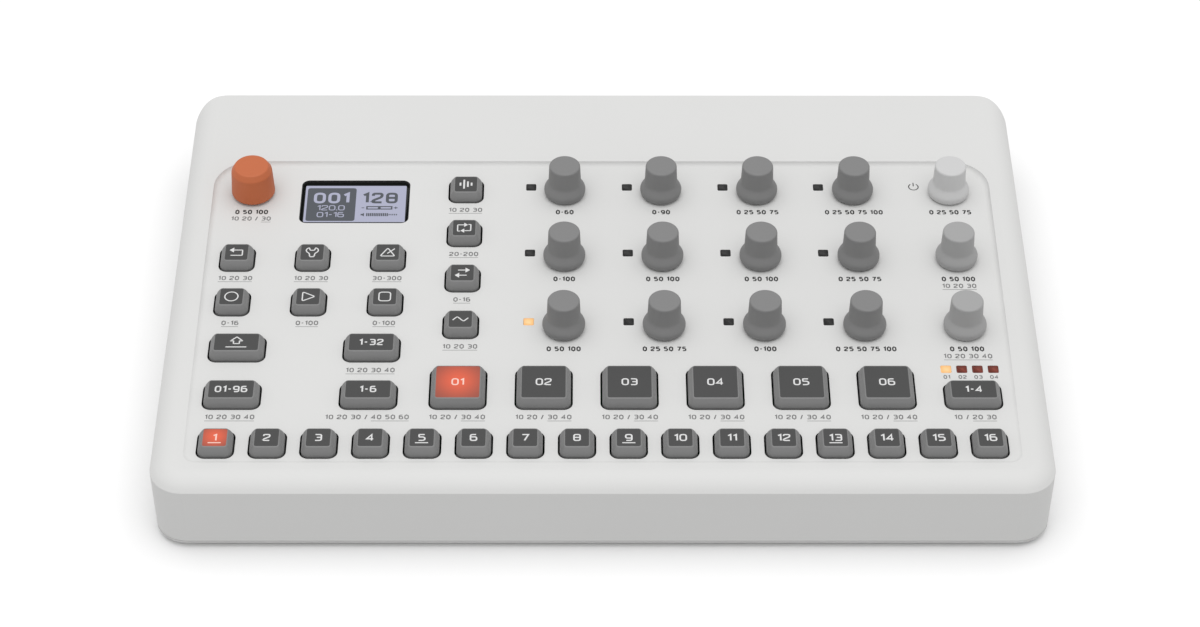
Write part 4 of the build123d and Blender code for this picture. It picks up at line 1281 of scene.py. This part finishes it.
@dataclass
class Knobs:
    """Flared knobs in three greys, and the plain orange level knob."""

    skirt: float = 6.66
    skirt_foot: float = 6.0
    skirt_rise: float = 2.3
    skirt_roll: float = 1.0
    shoulder: float = 1.0
    foot_gap: float = 0.45
    foot_edge: float = 0.4
    grip: float = 5.01
    grip_foot: float = 5.24
    grip_length: float = 6.4
    grip_bend: float = 1.0
    grip_edge: float = 0.65
    curve_steps: int = 16
    around: int = 96
    panel: float = PANEL
    level_foot: float = 7.0
    level_foot_gap: float = 0.8
    level_top: float = 6.55
    level_bevel: Point = (1.15, 1.9)
    level_edge: float = 0.35

    def revolved(self, outline: Sequence[Point], finish: Finish) -> bpy.types.Mesh:
        """Sweeps an outline of radius and height round a circle.

        Args:
            outline: Radius and height of each row, from the foot to the top.
            finish: The finish.

        Returns:
            The closed mesh, about the vertical axis.
        """
        widest = max(radius for radius, _ in outline)
        rows = [(widest - radius, height, 0.0) for radius, height in outline]
        rows = [(rows[0][0], rows[0][1], 1.0), *rows, (rows[-1][0], rows[-1][1], 1.0)]
        return Moulding(2.0 * widest, 2.0 * widest, widest, tuple(rows), self.around).mesh(finish)

    def flared(self, top: float, finish: Finish) -> bpy.types.Mesh:
        """Makes the flared knob.

        Args:
            top: Height of its top.
            finish: Its finish.

        Returns:
            The mesh, about the vertical axis.
        """
        foot = self.panel + self.foot_gap
        ring = self.panel + self.skirt_rise
        neck = top - self.grip_length
        lean = (self.grip_foot - self.grip) / (self.grip_length - self.grip_edge)
        rolled_rim = (
            (self.skirt_foot, foot),
            (self.skirt_foot + self.foot_edge, foot),
            (self.skirt, ring - self.skirt_roll),
            (self.skirt, ring),
        )
        flare = (
            (self.skirt, ring),
            (self.skirt, ring + self.shoulder),
            (self.grip_foot + lean * self.grip_bend, neck - self.grip_bend),
            (self.grip_foot, neck),
        )
        outline: list[Point] = []
        for bends in (rolled_rim, flare):
            points = interpolate_bezier(*(Vector(bend) for bend in bends), self.curve_steps)
            outline = outline[:-1] + [tuple(point) for point in points]
        outline += [(self.grip - inset, height) for inset, height, _ in arc_rows(0.0, top, self.grip_edge)]
        return self.revolved(outline, finish)

    def level(self, top: float, finish: Finish) -> bpy.types.Mesh:
        """Makes the level knob: a plain cone with a bevelled top.

        Args:
            top: Height of its top.
            finish: Its finish.

        Returns:
            The mesh, about the vertical axis.
        """
        foot = self.panel + self.level_foot_gap
        width, height = self.level_bevel
        corners = [
            (self.level_foot - self.foot_edge, foot),
            (self.level_foot, foot + self.foot_edge),
            (self.level_top, top - height),
            (self.level_top - width, top),
            (0.0, top),
        ]
        return self.revolved(soften(corners, self.level_edge, False)[:-1], finish)

    def place(self, node: str, mesh: bpy.types.Mesh, slot: str) -> None:
        """Puts a knob on its shaft.

        Args:
            node: The knob's node, which is also its body.
            mesh: Its mesh, about the vertical axis.
            slot: The record's material slot.
        """
        middle = node_box(node).centre
        piece = Piece(node + "_dressed")
        piece.add(mesh, (middle.x, middle.y, 0.0))
        piece.finish(node, slot, node)

    def build(self) -> None:
        """Builds every knob of the record."""
        tones = {
            "parameter_knob": KnobTone.DARK,
            "effect_knob": KnobTone.MID,
            "volume_knob": KnobTone.PALE,
        }
        for stem, tone in tones.items():
            finish, slot = tone.value
            mesh = self.flared(node_box("volume_knob").high.z, finish)
            for body in frame["bodies"]:
                if body.startswith(stem):
                    self.place(body, mesh, slot)
        level = self.level(node_box("level_knob").high.z, KNOB_ORANGE)
        self.place("level_knob", level, "knob_orange")


@dataclass(frozen=True)
class Lamps:
    """Light guides beside the knobs and above the page key."""

    lit_knob: str = "parameter_knob_09"
    offset: Point = (-10.94, 3.08)
    page_pitch: float = 4.83
    page_offset: float = 12.06
    page_count: int = 4
    size: float = 3.1
    foot: float = 26.0
    lit_middle: str = "FFD59A"
    lit_edge: str = "F7A850"
    lit_reach: float = 1.1

    def page_points(self) -> list[Point]:
        """Finds the page lamps above the page key.

        Returns:
            Their middles, from left to right.
        """
        middle = node_box("page_key").centre
        first = middle.x - self.page_pitch * (self.page_count - 1) / 2.0
        return [(first + i * self.page_pitch, middle.y + self.page_offset) for i in range(self.page_count)]

    def finish_at(self, x: float, y: float) -> Finish:
        """Chooses a light guide's finish.

        Args:
            x: The light guide's place.
            y: The light guide's place.

        Returns:
            Lit for one knob's lamp and the first page lamp, and unlit for the rest.
        """
        knob = node_box(self.lit_knob).centre
        lit = [(knob.x + self.offset[0], knob.y + self.offset[1]), self.page_points()[0]]
        reach = (self.lit_reach * self.size, self.lit_reach * self.size)
        for number, spot in enumerate(lit, 1):
            if math.dist(spot, (x, y)) < self.size:
                return Glow(f"lit_lens_{number}", self.lit_middle, self.lit_edge, spot, reach, self.foot)
        if min(math.dist(spot, (x, y)) for spot in self.page_points()) < self.size:
            return LENS_RED
        return LENS_SMOKED


LAMPS = Lamps()


@dataclass
class PanelPrint:
    """Plain figures printed on the panel: dial scales under the knobs and ruled notes under the keys."""

    panel: float = PANEL
    lift: float = 0.012
    knob_drop: float = 9.2
    second_drop: float = 3.2
    rule_drop: float = 1.7
    rule: float = 0.18
    page_drop: float = 3.43
    power_place: Point = (101.45, 45.3)
    power_radius: float = 1.55
    power_line: float = 0.34
    power_gap: float = 35.0
    power_steps: int = 30
    power_bar: Point = (0.75, 1.1)
    parameter_scales: tuple[str, ...] = (
        "0-60",
        "0-90",
        "0 25 50 75",
        "0 25 50 75 100",
        "0-100",
        "0 50 100",
        "0 50 100",
        "0 25 50 75",
        "0 50 100",
        "0 25 50 75",
        "0-100",
        "0 25 50 75 100",
    )
    other_scales: dict[str, str] = field(
        default_factory=lambda: {
            "volume_knob": "0 25 50 75",
            "effect_knob_1": "0 50 100",
            "effect_knob_2": "0 50 100",
            "level_knob": "0 50 100",
        }
    )
    second_lines: dict[str, tuple[str, str]] = field(
        default_factory=lambda: {
            "effect_knob_1": ("", "10 20 30"),
            "effect_knob_2": ("", "10 20 30 40"),
            "level_knob": ("10 20 / ", "30"),
        }
    )
    key_notes: dict[float, dict[str, tuple[str, str]]] = field(
        default_factory=lambda: {
            8.7: {
                "back_key": ("", "10 20 30"),
                "save_key": ("", "10 20 30"),
                "tempo_key": ("", "30-300"),
                "record_key": ("", "0-16"),
                "play_key": ("", "0-100"),
                "stop_key": ("", "0-100"),
            },
            9.0: {
                "mode_key_1": ("", "10 20 30"),
                "mode_key_2": ("", "20-200"),
                "mode_key_3": ("", "0-16"),
                "mode_key_4": ("", "10 20 30"),
            },
            9.1: {"repeat_key": ("", "10 20 30 40")},
            8.8: {
                "pattern_key": ("", "10 20 30 40"),
                "track_key": ("10 20 30 / ", "40 50 60"),
                "page_key": ("10 / ", "20 30"),
            },
            12.0: {f"pad_{i}": ("10 20 / ", "30 40") for i in range(1, 7)},
        }
    )

    def lay(self, piece: Piece, faces: Sequence[Sequence[Point]], ink: Finish, place: Point) -> None:
        """Lays a layer of ink on the panel.

        Args:
            piece: The print.
            faces: The corners of each face, about the place.
            ink: The finish.
            place: Where on the panel.
        """
        piece.add(flat_mesh(faces, ink), (*place, self.panel + self.lift))

    def note(self, piece: Piece, place: Point, plain: str, ruled: str) -> None:
        """Prints a row of grey figures with a rule under its last part.

        Args:
            piece: The print.
            place: Middle of the row.
            plain: The part without a rule.
            ruled: The part with a rule.
        """
        faces, width = NOTE_FIGURES.faces(plain + ruled)
        rule = NOTE_FIGURES.faces(ruled)[1]
        faces.append(list(bar((width - rule) / 2.0, -self.rule_drop, rule, self.rule)))
        self.lay(piece, faces, INK_GREY, place)

    def knob_labels(self, piece: Piece) -> None:
        """Prints a scale under each knob, and a second line under some.

        Args:
            piece: The print.
        """
        scales = {f"parameter_knob_{i:02d}": text for i, text in enumerate(self.parameter_scales, 1)}
        for node, text in (scales | self.other_scales).items():
            middle = node_box(node).centre
            y = middle.y - self.knob_drop
            self.lay(piece, LABEL_FIGURES.faces(text)[0], INK_DARK, (middle.x, y))
            if node in self.second_lines:
                self.note(piece, (middle.x, y - self.second_drop), *self.second_lines[node])

    def key_labels(self, piece: Piece) -> None:
        """Prints a note under the function keys and pads.

        Args:
            piece: The print.
        """
        for drop, notes in self.key_notes.items():
            for node, texts in notes.items():
                middle = node_box(node).centre
                self.note(piece, (middle.x, middle.y - drop), *texts)

    def power_sign(self, piece: Piece) -> None:
        """Prints the common sign for a power switch.

        Args:
            piece: The print.
        """
        radius = self.power_radius
        gap = math.radians(self.power_gap)
        step = (2.0 * math.pi - 2.0 * gap) / self.power_steps
        turns = [gap + step * i for i in range(self.power_steps + 1)]
        open_ring = [(radius * math.sin(turn), radius * math.cos(turn)) for turn in turns]
        faces = stroke(open_ring, self.power_line, False)
        middle, length = (share * radius for share in self.power_bar)
        faces.append(list(bar(0.0, middle, self.power_line, length)))
        self.lay(piece, faces, INK_DARK, self.power_place)

    def page_numbers(self, piece: Piece) -> None:
        """Prints the page numbers under the page lamps.

        Args:
            piece: The print.
        """
        for number, (x, y) in enumerate(LAMPS.page_points(), 1):
            self.lay(piece, PAGE_FIGURES.faces(f"0{number}")[0], INK_GREY, (x, y - self.page_drop))

    def build(self) -> None:
        """Builds the print as one piece."""
        piece = Piece("panel_print")
        self.knob_labels(piece)
        self.key_labels(piece)
        self.power_sign(piece)
        self.page_numbers(piece)
        piece.finish("case", "case_white")


@dataclass
class Inside:
    """Circuit boards with their switches, encoders and light guides."""

    board_width: float = 100.0
    header_width: float = 20.0
    encoder_width: float = 10.0
    switch_width: float = 5.5
    guide_top: float = PANEL - 0.1

    def finish_of(self, box: Box) -> Finish:
        """Chooses the finish of one solid of the boards by its size.

        Args:
            box: The solid's box.

        Returns:
            Its finish.
        """
        if box.size.x > self.board_width:
            return SOLDER_MASK
        if box.size.x > self.header_width:
            return SOCKET_NYLON
        if box.size.x > self.encoder_width:
            return SCREW_STEEL
        if box.size.x > self.switch_width:
            return BLACK_AND_PAINTED_SHADE
        if box.high.z > self.guide_top:
            return LAMPS.finish_at(box.centre.x, box.centre.y)
        return SCREW_STEEL

    def build(self) -> None:
        """Builds the boards as one piece."""
        piece = Piece("boards_dressed")
        piece.add_packed("circuit_boards", self.finish_of)
        piece.finish("case", "board_green", "circuit_boards")


@dataclass
class Display:
    """Display behind its pane: black surround, lit field, figures and bars."""

    opening: Point = (35.2, 21.1)
    corner: float = 2.5
    panel: float = PANEL
    pane: float = 26.0
    gasket: float = 0.22
    gasket_play: float = 0.02
    gasket_drop: float = 0.05
    lit: Point = (32.7, 17.9)
    lit_corner: float = 0.5
    layer: float = 0.01
    block: Point = (15.8, 16.2)
    block_place: Point = (-7.75, -0.3)
    block_corner: float = 1.0
    right_x: float = 7.9
    rows: Row = (2.9, -1.95, -5.3)
    slider: Point = (8.0, 1.2)
    slider_line: float = 0.5
    slider_thumb: float = 0.9
    end_mark: float = 5.3
    sound_box: tuple[Point, ...] = bar(-0.35, 0.0, 0.5, 0.7)
    sound_horn: tuple[Point, ...] = ((-0.1, 0.35), (0.5, 0.9), (0.5, -0.9), (-0.1, -0.35))
    meter_gap: float = 1.4
    meter_pitch: float = 0.6
    meter_lit: int = 12
    meter_lit_size: Point = (0.45, 1.5)
    meter_dim: int = 5
    meter_dim_size: Point = (0.35, 0.7)

    @property
    def print_height(self) -> float:
        """Height of the figures, above the lit field and the dark block."""
        return self.pane + 3 * self.layer

    def surround(self, piece: Piece, middle: Vector) -> None:
        """Adds the pane and the black gasket round the opening.

        Args:
            piece: The display's piece.
            middle: Middle of the opening.
        """
        piece.add_packed("display_module", lambda _: PANE_BLACK)
        top = self.panel - self.gasket_drop
        rows = (
            (self.gasket_play, self.pane, 0.0),
            (self.gasket_play, top, 0.0),
            (self.gasket, top, 0.0),
            (self.gasket, self.pane, 0.0),
            (self.gasket_play, self.pane, 0.0),
        )
        ring = Moulding(*self.opening, self.corner, rows).mesh(BLACK_AND_PAINTED_SHADE)
        piece.add(ring, (middle.x, middle.y, 0.0))

    def screen(self, piece: Piece, middle: Vector) -> None:
        """Adds the lit field and the dark block on its left.

        Args:
            piece: The display's piece.
            middle: Middle of the opening.
        """
        field_loop = soften(bar(0.0, 0.0, *self.lit), self.lit_corner, True)
        block_loop = soften(bar(*self.block_place, *self.block), self.block_corner, True)
        for layer, (loop, finish) in enumerate(((field_loop, SCREEN_LIT), (block_loop, SCREEN_DARK)), 1):
            place = (middle.x, middle.y, self.pane + layer * self.layer)
            piece.add(flat_mesh([loop], finish), place)

    def figures(self, piece: Piece, middle: Vector) -> None:
        """Adds the plain numbers and the slider that the display shows.

        Args:
            piece: The display's piece.
            middle: Middle of the opening.
        """
        height = self.print_height
        left_x = self.block_place[0]
        shown = (
            ("001", SCREEN_LARGE, (left_x, self.rows[0]), SCREEN_LIT),
            ("120.0", SCREEN_SMALL, (left_x, self.rows[1]), SCREEN_LIT),
            ("01-16", SCREEN_SMALL, (left_x, self.rows[2]), SCREEN_LIT),
            ("128", SCREEN_LARGE, (self.right_x, self.rows[0]), SCREEN_DARK),
            ("-", SCREEN_SMALL, (self.right_x - self.end_mark, self.rows[1]), SCREEN_DARK),
            ("+", SCREEN_SMALL, (self.right_x + self.end_mark, self.rows[1]), SCREEN_DARK),
        )
        for text, lettering, (x, y), finish in shown:
            piece.add(flat_mesh(lettering.faces(text)[0], finish), (middle.x + x, middle.y + y, height))
        slider = stroke(bar(0.0, 0.0, *self.slider), self.slider_line, True)
        slider.append(list(bar(0.0, 0.0, self.slider_thumb, self.slider[1])))
        place = (middle.x + self.right_x, middle.y + self.rows[1], height)
        piece.add(flat_mesh(slider, SCREEN_DARK), place)

    def meter(self, piece: Piece, middle: Vector) -> None:
        """Adds a level meter: a sound sign, a row of blocks and the dots of its unused end.

        Args:
            piece: The display's piece.
            middle: Middle of the opening.
        """
        left_x = middle.x + self.right_x - self.end_mark
        start = Vector((left_x, middle.y + self.rows[2], self.print_height))
        piece.add(flat_mesh((self.sound_box, self.sound_horn), SCREEN_DARK), start)
        start.x += self.meter_gap
        pitch = Vector((self.meter_pitch, 0.0, 0.0))
        for count, size in ((self.meter_lit, self.meter_lit_size), (self.meter_dim, self.meter_dim_size)):
            part = flat_mesh([bar(0.0, 0.0, *size)], SCREEN_DARK)
            piece.add(copies(part, [(start + i * pitch) * MM for i in range(count)], SCREEN_DARK))
            start += count * pitch

    def build(self) -> None:
        """Builds the display as one piece."""
        middle = node_box("display_module").centre
        piece = Piece("display_dressed")
        self.surround(piece, middle)
        self.screen(piece, middle)
        self.figures(piece, middle)
        self.meter(piece, middle)
        piece.finish("case", "display_dark", "display_module")


@dataclass
class Underside:
    """Bottom cover with its screws and rubber feet."""

    plate_width: float = 100.0
    foot_width: float = 10.0

    def finish_of(self, box: Box) -> Finish:
        """Chooses the finish of one solid of the cover by its size.

        Args:
            box: The solid's box.

        Returns:
            Its finish.
        """
        if box.size.x > self.plate_width:
            return COVER_ABS
        return FOOT_RUBBER if box.size.x > self.foot_width else SCREW_STEEL

    def build(self) -> None:
        """Builds the cover as one piece."""
        piece = Piece("cover_dressed")
        piece.add_packed("bottom_cover", self.finish_of)
        piece.finish("case", "cover_grey", "bottom_cover")


@dataclass
class RearSockets:
    """Sockets in the rear wall, with plated collars round the jacks."""

    jack_radius: float = 3.25
    mini_radius: float = 1.8
    collar: float = 1.1
    collar_around: int = 72
    rise: float = 0.2
    crown: tuple[Point, ...] = ((0.0, 0.5), (0.3, 1.0), (0.75, 1.0), (1.0, 0.4))
    usb_height: float = 6.0
    face_mount: str = "usb_socket"
    jack_mounts: tuple[str, ...] = ("audio_jack_1", "audio_jack_2", "phones_jack")
    mini_mounts: tuple[str, ...] = ("mini_jack_1", "mini_jack_2")

    def collars(self, piece: Piece, mounts: Sequence[str], radius: float) -> None:
        """Adds a plated collar round each bore of one size.

        Args:
            piece: The sockets' piece.
            mounts: The record's mounts at those bores.
            radius: The bore's radius.
        """
        outer = radius + self.collar
        shares = ((0.0, -1.0), *self.crown, (1.0, -1.0), (0.0, -1.0))
        rows = tuple((inset * self.collar, height * self.rise, 0.0) for inset, height in shares)
        ring = Moulding(2.0 * outer, 2.0 * outer, outer, rows, self.collar_around).mesh(NICKEL)
        ring.transform(Matrix.Rotation(math.radians(-90.0), 4, "X"))
        places = {mount["name"]: Vector(mount["pos_m"]) for mount in frame["record"]["mounts"]}
        face_y = places[self.face_mount].y
        spots = [Vector((places[name].x, face_y, places[name].z)) for name in mounts]
        piece.add(copies(ring, spots, NICKEL))

    def finish_of(self, box: Box) -> Finish:
        """Chooses plated steel for the flat USB shell and nylon for the rest."""
        return SCREW_STEEL if box.size.z < self.usb_height else SOCKET_NYLON

    def build(self) -> None:
        """Builds the sockets as one piece."""
        piece = Piece("sockets_dressed")
        piece.add_packed("rear_jacks", self.finish_of)
        self.collars(piece, self.jack_mounts, self.jack_radius)
        self.collars(piece, self.mini_mounts, self.mini_radius)
        piece.finish("case", "socket_black", "rear_jacks")


@dataclass
class KeptNodes:
    """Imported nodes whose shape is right, which get a better finish."""

    panel: float = PANEL
    gap: float = 0.65
    wall_slope: float = 0.3
    finishes: dict[str, Finish] = field(
        default_factory=lambda: {
            "top_case": CASE_ABS,
            "power_toggle": SOCKET_NYLON,
            "level_encoder_rotor": SOCKET_NYLON,
        }
    )

    def shade_key_openings(self, mesh: bpy.types.Mesh) -> None:
        """Colours the walls of the key openings black: painted shade for the dark gap round each key.

        Args:
            mesh: The top case's mesh.
        """
        mesh.materials.append(BLACK_AND_PAINTED_SHADE.material())
        black = len(mesh.materials) - 1
        boxes = [node_box(key) for key in key_nodes()]
        top = self.panel * MM
        for face in mesh.polygons:
            if abs(face.normal.z) >= self.wall_slope or face.center.z >= top:
                continue
            x, y, _ = face.center / MM
            for box in boxes:
                reach = box.size / 2.0 + Vector((self.gap, self.gap, 0.0))
                if abs(x - box.centre.x) < reach.x and abs(y - box.centre.y) < reach.y:
                    # painted shade: this wall of a key opening is coloured black
                    face.material_index = black
                    break

    def build(self) -> None:
        """Assigns the finishes."""
        for node, finish in self.finishes.items():
            mesh = frame["nodes"][node].data
            mesh.materials.clear()
            mesh.materials.append(finish.material())
            log.info("%s keeps its shape and gets %s", node, finish.name)
        # Painted shade: the walls of the key openings are coloured black for the dark gap round each key
        self.shade_key_openings(frame["nodes"]["top_case"].data)


@dataclass(frozen=True)
class PhotoCamera:
    """The photograph's camera, found from the places of the keys, lamps and case edges in it."""

    position: Row = (-4.79, -765.12, 721.04)
    elevation: float = 42.790
    yaw: float = 0.3130
    roll: float = 0.2269
    focal_pixels: float = 3277.5
    photo_width: float = 1200.0
    sensor: float = 36.0
    nearest: float = 10.0

    def build(self) -> None:
        """Adds the camera to the scene."""
        e, yaw, roll = (math.radians(a) for a in (self.elevation, self.yaw, self.roll))
        ahead = Vector((math.sin(yaw) * math.cos(e), math.cos(yaw) * math.cos(e), -math.sin(e)))
        level = ahead.cross(Vector((0.0, 0.0, 1.0))).normalized()
        upright = level.cross(ahead)
        right = level * math.cos(roll) + upright * math.sin(roll)
        up = right.cross(ahead)
        turn = Matrix((right, up, -ahead)).transposed()
        data = bpy.data.cameras.new("photo_camera")
        data.sensor_fit = "HORIZONTAL"
        data.sensor_width = self.sensor
        data.lens = self.focal_pixels / self.photo_width * self.sensor
        data.clip_start = self.nearest * MM
        camera = bpy.data.objects.new("photo_camera", data)
        camera.matrix_world = Matrix.Translation(Vector(self.position) * MM) @ turn.to_4x4()
        bpy.context.scene.collection.objects.link(camera)
        bpy.context.scene.camera = camera


@dataclass(frozen=True)
class Studio:
    """Pale floor, bright surroundings and one large soft light."""

    floor_size: Point = (12000.0, 12000.0)
    underlay_size: Point = (267.0, 177.0)
    drop: float = 0.02
    sky_strength: float = 0.69
    light_place: Row = (0.0, -200.0, 2000.0)
    light_size: float = 2800.0
    light_power: float = 32.5

    def sheet(self, name: str, size: Point, drop: float) -> bpy.types.Object:
        """Lays a sheet of paper under the object.

        Args:
            name: The sheet's name.
            size: Its width and depth.
            drop: How far it lies under the feet.

        Returns:
            The sheet.
        """
        sheet = bpy.data.objects.new(name, flat_mesh([bar(0.0, 0.0, *size)], FLOOR_PAPER))
        sheet.location.z = -drop * MM
        bpy.context.scene.collection.objects.link(sheet)
        return sheet

    def surroundings(self) -> None:
        """Sets an even white surround."""
        world = bpy.data.worlds.new("studio")
        world.use_nodes = True
        sky = world.node_tree.nodes["Background"]
        sky.inputs["Color"].default_value = (1.0, 1.0, 1.0, 1.0)
        sky.inputs["Strength"].default_value = self.sky_strength
        bpy.context.scene.world = world

    def overhead_light(self) -> None:
        """Hangs the soft light over the object."""
        data = bpy.data.lights.new("overhead", "AREA")
        data.size = self.light_size * MM
        data.energy = self.light_power
        light = bpy.data.objects.new("overhead", data)
        light.location = Vector(self.light_place) * MM
        light.rotation_mode = "QUATERNION"
        light.rotation_quaternion = (-light.location).to_track_quat("-Z", "Y")
        bpy.context.scene.collection.objects.link(light)

    def build(self) -> None:
        """Adds the floor, the surround and the light, and shows colours without a film curve."""
        bpy.context.scene.view_settings.view_transform = "Standard"
        # The floor throws no light up at the walls, and the underlay keeps the surround's light from below
        self.sheet("floor", self.floor_size, 2.0 * self.drop).visible_diffuse = False
        self.sheet("underlay", self.underlay_size, self.drop)
        self.surroundings()
        self.overhead_light()


def main() -> None:
    """Builds the groovebox's looks in order."""
    logging.basicConfig(level=logging.INFO, format="%(name)s: %(message)s")
    PhotoCamera().build()
    for assembly in (
        KeptNodes(),
        Underside(),
        RearSockets(),
        Inside(),
        Display(),
        Keyboard(),
        Knobs(),
        PanelPrint(),
    ):
        assembly.build()
    Studio().build()


if __name__ == "__main__":
    main()
